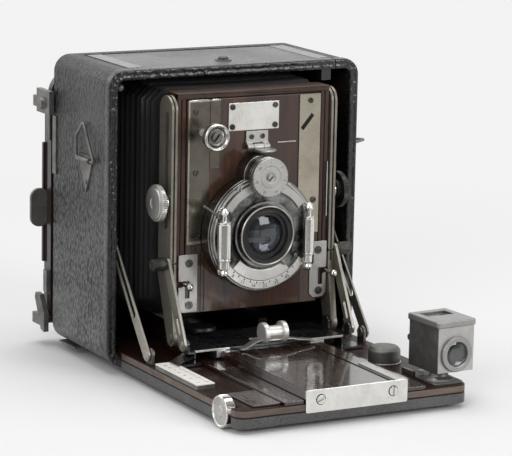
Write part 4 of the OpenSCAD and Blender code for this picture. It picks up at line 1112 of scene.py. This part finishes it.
def makePlates(settings):
    front, back = settings["plateY"], settings["boardY"]
    plate = slab(*settings["nameplate"], "Y", front, back, 0.4, 0.12)
    gapX, gapZ = settings["gap"]
    stileEdge = slab((gapX[1], 45.4), gapZ, "Y", back, -20.6, 0.1, 0.1)
    tops = [slab(x, z, "Y", -21.95, back, 0.1, 0.3) for x, z in settings["topEdges"]]
    addPiece("nameplate", joined(plate, stileEdge, *tops), "brightNickel", "panel", "nickel", 30, "panel_plates")
    shapes = [plateShape(softened(settings[name], 0.5, True), "Y", -22.0, back, 0.2)
              for name in ("leftBracket", "rightBracket")]
    y, z = settings["hinge"]
    shapes.append(slab((-5.5, 7.7), (z + 2.0, 126.0), "Y", -22.3, back, 0.4, 0.15))
    for x in settings["hingeArms"]:
        shapes.append(rod(*x, 1.7, (0, y, z), "X", 28, 0.15))
        shapes.append(slab(x, (z - 0.5, z + 2.4), "Y", y, back, 0.2, 0.15))
    shapes.append(rod(13.7, 24.8, 0.4, (0, -21.6, 118.9), "X", 14, 0.1))
    addPiece("brackets", joined(*shapes), "satinNickel", "panel", "nickel")

    heads = [screwHead(x, -22.0 if radius > 2 else front, height, radius, 0.5, 0.4 + 0.7 * x)
             for x, height, radius in settings["screws"]]
    heads += [screwHead(x, -22.3, 123.0, 1.4, 0.5, turn) for x, turn in ((-2.2, 0.6), (4.4, 1.3))]
    addPiece("panelScrews", joined(*heads), "screwMetal", "panel", "dark_metal")
    # The slot and the groove are flat dark strips on the plate and the stile: painted shade where they open. The
    # seams are dark joints.
    ends = [(x, front, z) for x, z in settings["slot"]]
    slots = [sweptShape(ends, roundSection(1.1, 12) * (1, 0.1), (0, 1, 0)),
             slab(gapX, gapZ, "Y", -20.95, -20.6, 0.1, 0.05, 1)]
    slots += [slab((x - 0.22, x + 0.22), (30.3, 66.5), "Y", -21.2, -21.0, 0.05, 0.02, 1)
              for x in settings["seams"]]
    addPiece("panelSlots", joined(*slots), "engraving", "panel", "dark_metal")

    for name, x, z, plateFront, stands in settings["sidePlates"]:
        plate = plateShape(sideOutline(x, z), "Y", plateFront, back, 0.25)
        addPiece(name, plate, "paleBrass", "panel", "aged_brass", 30, stands)
    inlay = plateShape(sideOutline(*settings["inlay"]), "Y", -21.85, -21.7, 0.05, 1)
    tab = slab(*settings["tab"], "Y", -21.6, back, 0.2, 0.15)
    addPiece("sidePlateInlay", joined(inlay, tab), "darkBrass", "panel", "aged_brass", 30)


# The catch tongue, the knob on its shank and the two sliding pins with their ball ends.
def makeFittings(settings):
    y, z = settings["hinge"]
    knuckle = rod(-1.85, 4.05, 1.7, (0, y, z), "X", 28, 0.15)
    outline = [(-1.6, y + 0.6), (8.8, y + 0.2), (9.0, -30.0), (5.0, -33.1), (-1.0, -33.1), (-1.8, -30.0)]
    leaf = plateShape(softened(outline, 1.2, True), "Z", z - 1.7, z - 0.7, 0.25)
    addMoving("catch_tongue", joined(knuckle, leaf), "satinNickel", "nickel")

    x, height = settings["knob"]
    centre = (x, 0, height)
    knob = turnedShape(settings["knobProfile"], centre, "Y", 180, 0.25, settings["knobTeeth"])
    addMoving("panel_knob", knob, "nickel", "nickel")
    addPiece("panelKnobShank", rod(-22.3, -34.6, 1.9, centre, "Y", 32, 0.15), "shankMetal", "panel_knob", "nickel")
    floor = rod(-37.2, -37.45, 3.9, centre, "Y", 40, 0.05)
    washer = rod(-21.9, -22.4, 2.5, centre, "Y", 40, 0.1)
    screw = screwHead(x, -37.5, height, 2.5, 1.6, 0.9)
    addPiece("panelKnobScrew", joined(floor, washer, screw), "knobMetal", "panel_knob", "dark_metal")

    radius = settings["ballRadius"]
    for side, x, height, tip in settings["pins"]:
        ball = [(tip + radius * math.cos(angle), radius * math.sin(angle)) for angle in np.linspace(0.5, np.pi, 12)]
        pin = turnedShape([(-21.3, 0.0), (-21.3, 1.0)] + ball, (x, 0, height), "Y", 28, 0.05)
        addMoving(f"bracket_pin_{side}", pin, "nickel", "nickel", 40)


makePlates(fittings)
makeFittings(fittings)
print("stage: fittings")

# Knobs on the uprights

knobs = {
    "clamp": {  # profiles run outwards, as distances along X and out from the axis in mm
        "place": (-16.5, 90.0),
        "profile": ((51.4, 0.0), (51.4, 6.0), (53.0, 6.0), (53.05, 9.3), (53.3, 9.8), (55.8, 9.8), (56.15, 9.4),
                    (56.2, 8.7), (56.9, 8.6), (57.2, 8.2), (57.2, 3.0), (56.9, 2.6), (56.9, 0.0)),
        "teeth": (64, 0.28, 53.3, 55.8),
        "segments": 256,
    },
    "brace": {
        "place": (-21.0, 58.0),
        "profile": ((51.6, 0.0), (51.6, 3.0), (51.9, 3.3), (52.7, 3.3), (53.0, 3.6), (59.2, 3.6), (59.8, 3.1),
                    (60.0, 2.6), (60.0, 1.2), (59.6, 0.9), (59.6, 0.0)),
        "teeth": (30, 0.22, 53.2, 58.9),
        "segments": 150,
    },
    # The right clamp knob takes a darker finish than the left one: painted shade, as it stands in the body's
    # shadow.
    "finishes": {"left": "satinNickel", "right": "darkKnob"},
}


# A profile along X, mirrored for the left side.
def sideKnob(side, settings):
    count, depth, low, high = settings["teeth"]
    limits = sorted((side * low, side * high))
    return turnedShape([(side * along, out) for along, out in settings["profile"]], (0, *settings["place"]), "X",
                       settings["segments"], 0.25, (count, depth, *limits))


def makeKnobs(settings):
    brace = settings["brace"]
    for name, side in (("left", -1), ("right", 1)):
        finish = settings["finishes"][name]
        addMoving(f"clamp_knob_{name}", sideKnob(side, settings["clamp"]), finish, "nickel")
        shank = rod(side * 46.4, side * 52.0, 1.5, (0, *brace["place"]), "X", 20, 0.1)
        addMoving(f"brace_knob_{name}", joined(sideKnob(side, brace), shank), "darkKnob", "dark_metal")


makeKnobs(knobs)

# Spool-shaped finger piece on its spring tongue

clamp = {
    "spool": ((7.0, 0.0), (7.0, 5.0), (6.7, 5.6), (4.5, 5.7), (4.2, 5.3), (4.1, 3.9), (3.9, 3.6)),  # half of it
    "spoolPlace": (-1.0, -48.0, 22.3),
    "tongue": ((-34.0, 15.6), (-43.0, 15.6), (-50.5, 18.2), (-50.5, 19.2), (-42.8, 16.6), (-34.0, 16.6)),
    "wings": (((-6.0, 18.6), (-9.5, 18.9), (-13.0, 17.8), (-16.5, 15.9), (-18.5, 15.2), (-20.6, 15.1)),
              ((6.0, 18.3), (9.5, 18.3), (14.0, 17.2), (19.0, 16.6), (23.5, 15.9))),  # X and Z
    "wingY": -47.5,
}


def makeClamp(settings):
    half = settings["spool"]
    profile = [*half, *((-along, out) for along, out in half[::-1])]
    spool = turnedShape(profile, settings["spoolPlace"], "X", 64, 0.2)
    pin = rod(-7.6, 7.6, 0.5, (0, -34.0, 16.1), "X", 14, 0.1)
    tongue = plateShape(softened(settings["tongue"], 0.4, True), "X", -7.0, 7.0, 0.2)
    post = slab((-49.4, -46.6), (17.8, 20.5), "X", -2.4, 0.4, 0.2, 0.2)
    addMoving("track_clamp", joined(spool, pin, tongue, post), "spoolMetal", "nickel")
    section = rectangle((-0.25, 0.25), (-2.6, 2.6), 0.15)
    wings = [sweptShape([(x, settings["wingY"], z) for x, z in softened(line, 1.5)], section, (0, 1, 0))
             for line in settings["wings"]]
    addPiece("clampSpring", joined(*wings), "satinNickel", "track_clamp", "nickel")


makeClamp(clamp)
print("stage: knobs")

# Bed

bed = {
    "wheel": {"x": (-68.9, -63.5), "y": -117.5, "z": 3.4, "radius": 8.4},  # mm
    "wheelTeeth": (70, 0.28),
    "pinion": {"x": (-28.8, -23.2), "r": 4.05, "teeth": 12, "depth": 1.05},
    "knob": (51.0, -76.0, 0),
    "knobCap": ((8.0, 0.0), (8.0, 8.4), (8.5, 8.6), (14.0, 8.6), (14.6, 8.45), (15.8, 7.3), (16.1, 7.0),
                (16.45, 4.0), (16.6, 0.0)),
    "knobRing": ((2.6, 0.0), (2.6, 2.0), (7.4, 2.0), (7.4, 9.0), (8.0, 9.0), (8.15, 8.8), (8.15, 0.0)),
    "plate": {"x": (-29.5, 29.5), "z": (2.5, 14.3), "y": (-135.5, -134.4)},
    "plateScrews": ((-21.0, 9.0, 0.35), (21.0, 9.0, 1.5)),
    "strip": ((22.5, 28.5), (-134.4, -97.0)),
    "ticks": {"y": (-131, -100), "count": 16, "x": 28.3, "long": 3.2, "short": 1.6, "half": 0.12},
    "scale": {"x": (-66.8, -56.4), "y": (-89.0, -41.2), "z": (7.3, 10.3)},
    "distances": ("2", "3", "4", "6", "9", "15", "30"),
    "corner": {"radius": 6, "middle": (-61, -128.3)},  # the front left corner, along the bed's upper edge
    "rackGap": (-29.4, -22.6),
    "bands": (  # name, whether the rack parts it, Z, how far it stands out, finish, slot
        ("bedBand", True, (3.7, 6.9), 0.25, "edgeWood", "polished_wood"),
        ("bedGroove", False, (2.8, 3.8), 0.05, "engraving", "polished_wood"),
        ("bedLeatherEdge", False, (-2.1, 2.9), 0.3, "edgeLeather", "black_leather"),
    ),
    "clips": (((-31.6, 10.2), (-29.8, 10.6), (-27.2, 12.8), (-26.2, 14.3), (-31.8, 14.3)),
              ((30.6, 9.9), (32.9, 9.9), (32.9, 14.3), (27.4, 14.3), (28.0, 12.9), (30.4, 12.6))),
    "pointer": ((-45.6, -35.0, 13.6), (-45.4, -45.5, 13.6), (-59.0, -52.6, 10.95), (-59.0, -42.2, 10.95)),
    "pointerDepth": 0.5,
}


def makeWheel(settings):
    wheel, pinion = settings["wheel"], settings["pinion"]
    (out, inner), radius = wheel["x"], wheel["radius"]
    centre = (0, wheel["y"], wheel["z"])
    profile = [(inner, 0.0), (inner, 7.9), (inner - 0.4, radius), (out + 0.5, radius), (out, radius - 0.5),
               (out, radius - 1.0), (out + 0.3, radius - 1.3), (out + 1.1, radius - 1.6), (out + 1.1, 0.0)]
    teeth = (*settings["wheelTeeth"], out + 0.45, inner - 0.35)
    rimShape = turnedShape(profile, centre, "X", 280, 0.25, teeth)
    profile = [(inner - 0.5, 0.0), (inner - 0.5, 1.5), (pinion["x"][0], 1.5), (pinion["x"][0], pinion["r"]),
               (pinion["x"][1], pinion["r"]), (pinion["x"][1], 0.0)]
    teeth = (pinion["teeth"], pinion["depth"], *pinion["x"])
    shaft = turnedShape(profile, centre, "X", 16 * pinion["teeth"], 0.05, teeth)
    addMoving("focus_wheel", joined(rimShape, shaft), "nickel", "nickel")
    face = turnedShape([(out + 1.2, 0.0), (out + 1.2, 6.75), (out + 0.7, 6.75), (out + 0.8, 3.1), (out + 0.15, 2.5),
                        (out + 0.1, 1.2), (out + 0.4, 0.9), (out + 0.4, 0.0)], centre, "X", 60, 0.2)
    addPiece("focusWheelFace", face, "satinNickel", "focus_wheel", "nickel")
    cap = turnedShape(settings["knobCap"], settings["knob"], "Z", 96, 0.3)
    addMoving("bed_knob", cap, "knobMetal", "black_rubber", 40)
    ring = turnedShape(settings["knobRing"], settings["knob"], "Z", 72, 0.12)
    addPiece("bedKnobRing", ring, "satinNickel", "bed_knob", "nickel", 40)


# The plate at the end of the track with its screws, and the strip beside the track with its ticks.
def makeTrackPlate(settings):
    plate, screws = settings["plate"], settings["plateScrews"]
    front = plate["y"][0]
    heads = [screwHead(x, front, z, 2.45, 0.55, turn, 0.13) for x, z, turn in screws]
    shape = joined(slab(plate["x"], plate["z"], "Y", *plate["y"], 1.2, 0.25), *heads)
    addPiece("trackPlate", shape, "brightNickel", "track", "nickel", stands="track_plates")
    rings = [turnedShape([(front + 0.2, 2.4), (front + 0.2, 2.8), (front - 0.04, 2.8), (front - 0.04, 2.4)],
                         (x, 0, z), "Y", 40, 0.02, ring=True) for x, z, _ in screws]
    addPiece("trackPlateSeams", joined(*rings), "engraving", "track", "dark_metal", 40)
    addPiece("trackStrip", slab(*settings["strip"], "Z", 13.9, 14.6, 0.3, 0.15), "paleMetal", "track", "nickel")
    ticks = settings["ticks"]
    x, half = ticks["x"], ticks["half"]
    marks = []
    for index, y in enumerate(np.linspace(*ticks["y"], ticks["count"])):
        length = ticks["long"] if index % 5 == 0 else ticks["short"]
        marks.append(slab((x - length, x), (y - half, y + half), "Z", 14.55, 14.64, 0.02, 0.01, 1))
    addPiece("trackMarks", joined(*marks), "engraving", "track", "dark_metal", 40)


# Two bands and the groove between them round the bed; the upper one stops where the rack passes.
def makeBands(settings):
    x, y = settings["corner"]["middle"]
    radius = settings["corner"]["radius"]
    corner = radius * unitCircle(np.radians(np.linspace(180, 270, 10))) + (x, y)
    start = np.vstack([[(x - radius, -127.2)], corner])
    end = np.vstack([corner[::-1] * (-1, 1), [(radius - x, -2)]])
    left = np.array([(x - radius, -2), (x - radius, -107.9)])
    whole = [left, np.vstack([start, end])]
    stop, restart = ([(gap, y - radius)] for gap in settings["rackGap"])
    parts = [left, np.vstack([start, stop]), np.vstack([restart, end])]
    for name, parted, heights, proud, finish, slotName in settings["bands"]:
        section = rectangle((-0.3, proud), heights, 0.2)
        paths = parts if parted else whole
        bands = [sweptShape([(*point, 0) for point in path], section, (0, 0, 1)) for path in paths]
        addPiece(name, joined(*bands), finish, "bed", slotName)


# The distance scale: an ivory strip with a line, ticks and plain numbers along it, and a pointer that slopes
# down to it from the carriage's corner.
def makeScale(settings):
    wide, long, (low, top) = (settings["scale"][axis] for axis in "xyz")
    addPiece("distanceScale", slab(wide, long, "Z", top - 0.7, top, 0.4, 0.15), "ivory", "bed", "ivory",
             stands="scale_plate")
    # Below the ivory, the scale's side is dark metal: painted shade on its side faces.
    addPiece("distanceScaleShadedSide", slab(wide, long, "Z", low, top - 0.75, 0.4, 0.15), "darkMetal", "bed", "ivory")
    (left, right), (near, far) = wide, long
    mark = (top - 0.05, top + 0.03, 0.02, 0.01, 1)
    marks = [slab((right - 3.2, right - 3.0), (near + 2, far - 2), "Z", *mark)]
    places = near + 4 + 38 * np.linspace(0, 1, len(settings["distances"])) ** 0.8
    for number, y in zip(settings["distances"], places):
        marks.append(slab((right - 5.0, right - 1.2), (y - 0.12, y + 0.12), "Z", *mark))
        points, faces = wording(number, 3.0, -math.pi / 2, 0.08)
        marks.append((points + (left + 3.0, y, top + 0.01), faces))
    addPiece("distanceMarks", joined(*marks), "fadedMark", "bed", "dark_metal", 40)
    edges = [slab(x, (14.25, 15.4), "Y", -43.3, -42.7, 0.2, 0.15) for x in ((-44.8, -24), (24.5, 44.8))]
    clips = [plateShape(softened(outline, 0.3, True), "Y", -43.4, -42.8, 0.15) for outline in settings["clips"]]
    addPiece("carriageEdge", joined(*edges, *clips), "spoolMetal", "standard", "nickel")
    tops = np.array(settings["pointer"])
    points = np.vstack([tops, tops - (0, 0, settings["pointerDepth"])])
    faces = [[0, 1, 2, 3], [7, 6, 5, 4]]
    faces += [[corner, corner + 4, (corner + 1) % 4 + 4, (corner + 1) % 4] for corner in range(4)]
    addPiece("distancePointer", (points, faces), "drumMetal", "standard", "dark_metal")


for make in (makeWheel, makeTrackPlate, makeBands, makeScale):
    make(bed)
print("stage: bed")

# Finder

finder = {
    "centre": (63.2, -113.6),  # mm
    "pivot": (57.0, -121.0),
    "turn": 4.0,  # degrees
    "half": (11.2, 12.8),
    "z": (12.2, 36.2),
    "lensZ": 21.9,
    "lensRadius": 6.55,
    "lid": {"proud": 0.95, "x": (-8.2, 8.2), "y": (0.3, 9.4), "z": (36.25, 39.5)},  # its opening's X and Y
    "mirror": {"half": (9, 12), "y": 1, "z": 26, "tilt": 45.0},
    "ring": ((-0.3, 6.5), (-0.3, 9.4), (-1.7, 9.4), (-2.1, 9.0), (-2.0, 6.8), (-1.8, 6.5)),  # Y from the front
    "foot": ((8.3, 0.0), (8.3, 8.2), (9.0, 7.6), (10.2, 5.2), (11.9, 4.3), (11.9, 0.0)),
    "spring": ((54.2, -105.0), (57.0, -105.4), (53.6, -126.0), (50.8, -125.6)),
}


# Turns points about the finder's middle and puts them beside the pivot.
def finderShape(shape, settings):
    points, faces = shape
    turn = math.radians(settings["turn"])
    centre, pivot = (np.array(settings[key]) for key in ("centre", "pivot"))
    arm = points[:, :2] + centre - pivot
    x = arm[:, 0] * math.cos(turn) - arm[:, 1] * math.sin(turn) + pivot[0]
    y = arm[:, 0] * math.sin(turn) + arm[:, 1] * math.cos(turn) + pivot[1]
    return np.stack([x, y, points[:, 2]], -1), faces


def makeFinder(settings):
    wide, deep = settings["half"]
    lensZ, lid = settings["lensZ"], settings["lid"]
    outline = evenOutline(rectangle((-wide, wide), (settings["z"][0] + 0.1, settings["z"][1]), 0.4), 120)
    face = plateShape(outline, "Y", -deep - 0.35, -deep + 0.4, 0.15, 2, circleFacing(outline, (0.0, lensZ), 6.7))
    ring = turnedShape([(-deep + y, out) for y, out in settings["ring"]], (0, 0, lensZ), "Y", 72, 0.2, ring=True)
    radius = settings["lensRadius"]
    dome = [(-deep - 0.2 - 1.2 * (1 - share ** 2), radius * share) for share in np.linspace(1, 0, 12)]
    glass = turnedShape([(-deep + 0.5, 0.0), (-deep + 0.5, radius)] + dome, (0, 0, lensZ), "Y", 48, 0.01)
    pane = slab((-7.55, 7.55), (-8.55, 8.55), "Z", 37.2, 38.4, 0.1, 0.05)

    mirror = settings["mirror"]
    halfX, halfY = mirror["half"]
    points, faces = slab((-halfX, halfX), (-halfY, halfY), "Z", -0.5, 0.5, 0.1, 0.05)
    tilt = math.radians(mirror["tilt"])
    turned = np.stack([points[:, 0],
                       mirror["y"] + points[:, 1] * math.cos(tilt) - points[:, 2] * math.sin(tilt),
                       mirror["z"] + points[:, 1] * math.sin(tilt) + points[:, 2] * math.cos(tilt)], -1)
    proud = lid["proud"]
    outer = rectangle((-wide - proud, wide + proud), (-deep - proud, deep + proud), 1.5)
    cover = plateShape(outer, "Z", *lid["z"], 0.6, 4, rectangle(lid["x"], lid["y"], 0.4))
    for name, shape, finish, slotName, *rest in (
            ("finderFace", face, "satinNickel", "nickel"),
            ("finderRing", ring, "stripMetal", "dark_metal"),
            ("finderLens", joined(glass, pane), "finderGlass", "finder_glass", 60, "finder_glass"),
            ("finderMirror", (turned, faces), "mirror", "finder_glass", 40),
            ("finderLid", cover, "stripMetal", "nickel")):
        addPiece(name, finderShape(shape, settings), finish, "finder", slotName, *rest)

    # The foot on which it turns, and the flat spring beside it
    foot = turnedShape(settings["foot"], (*settings["pivot"], 0), "Z", 56, 0.3)
    addPiece("finderFoot", foot, "darkMetal", "bed", "dark_metal")
    addPiece("finderSpring", plateShape(settings["spring"], "Z", 8.6, 9.6, 0.15), "spoolMetal", "bed", "nickel")


makeFinder(finder)
print("stage: finder")

# Strap loops

straps = {
    "place": (76.8, 26.0, 107.5),  # mm
    "corners": ((-11.0, 0.0), (11.0, 0.0), (11.4, 11.7), (3.4, 19.4), (1.8, 19.4)),  # along Y and out
    "wire": 0.8,
    "bend": 1.8,
}


# The left loop stands up and the right one sticks out.
def makeLoops(settings):
    x, y, z = settings["place"]
    line = softened(settings["corners"], settings["bend"], True, 6)
    level = np.zeros(len(line))
    for name, offsets, middle, up in (("left", (level, line[:, 0], line[:, 1]), (-x, y, z), (1, 0, 0)),
                                      ("right", (line[:, 1], line[:, 0], level), (x, y, z), (0, 0, 1))):
        path = np.stack(offsets, -1) + middle
        loop = sweptShape(path, roundSection(settings["wire"], 14), up, True)
        addMoving(f"strap_loop_{name}", loop, "darkMetal", "dark_metal", 60)


makeLoops(straps)
print("stage: strap loops")

# Roof strips

roof = {"x": (52.0, 60.4), "y": (8.0, 59.4), "z": (158.2, 158.66)}
strips = [slab(sorted((side * roof["x"][0], side * roof["x"][1])), roof["y"], "Z", *roof["z"], 0.5, 0.15)
          for side in (-1, 1)]
addPiece("roofStrips", joined(*strips), "stripMetal", "roof_flap", "black_leather")
print("stage: roof")
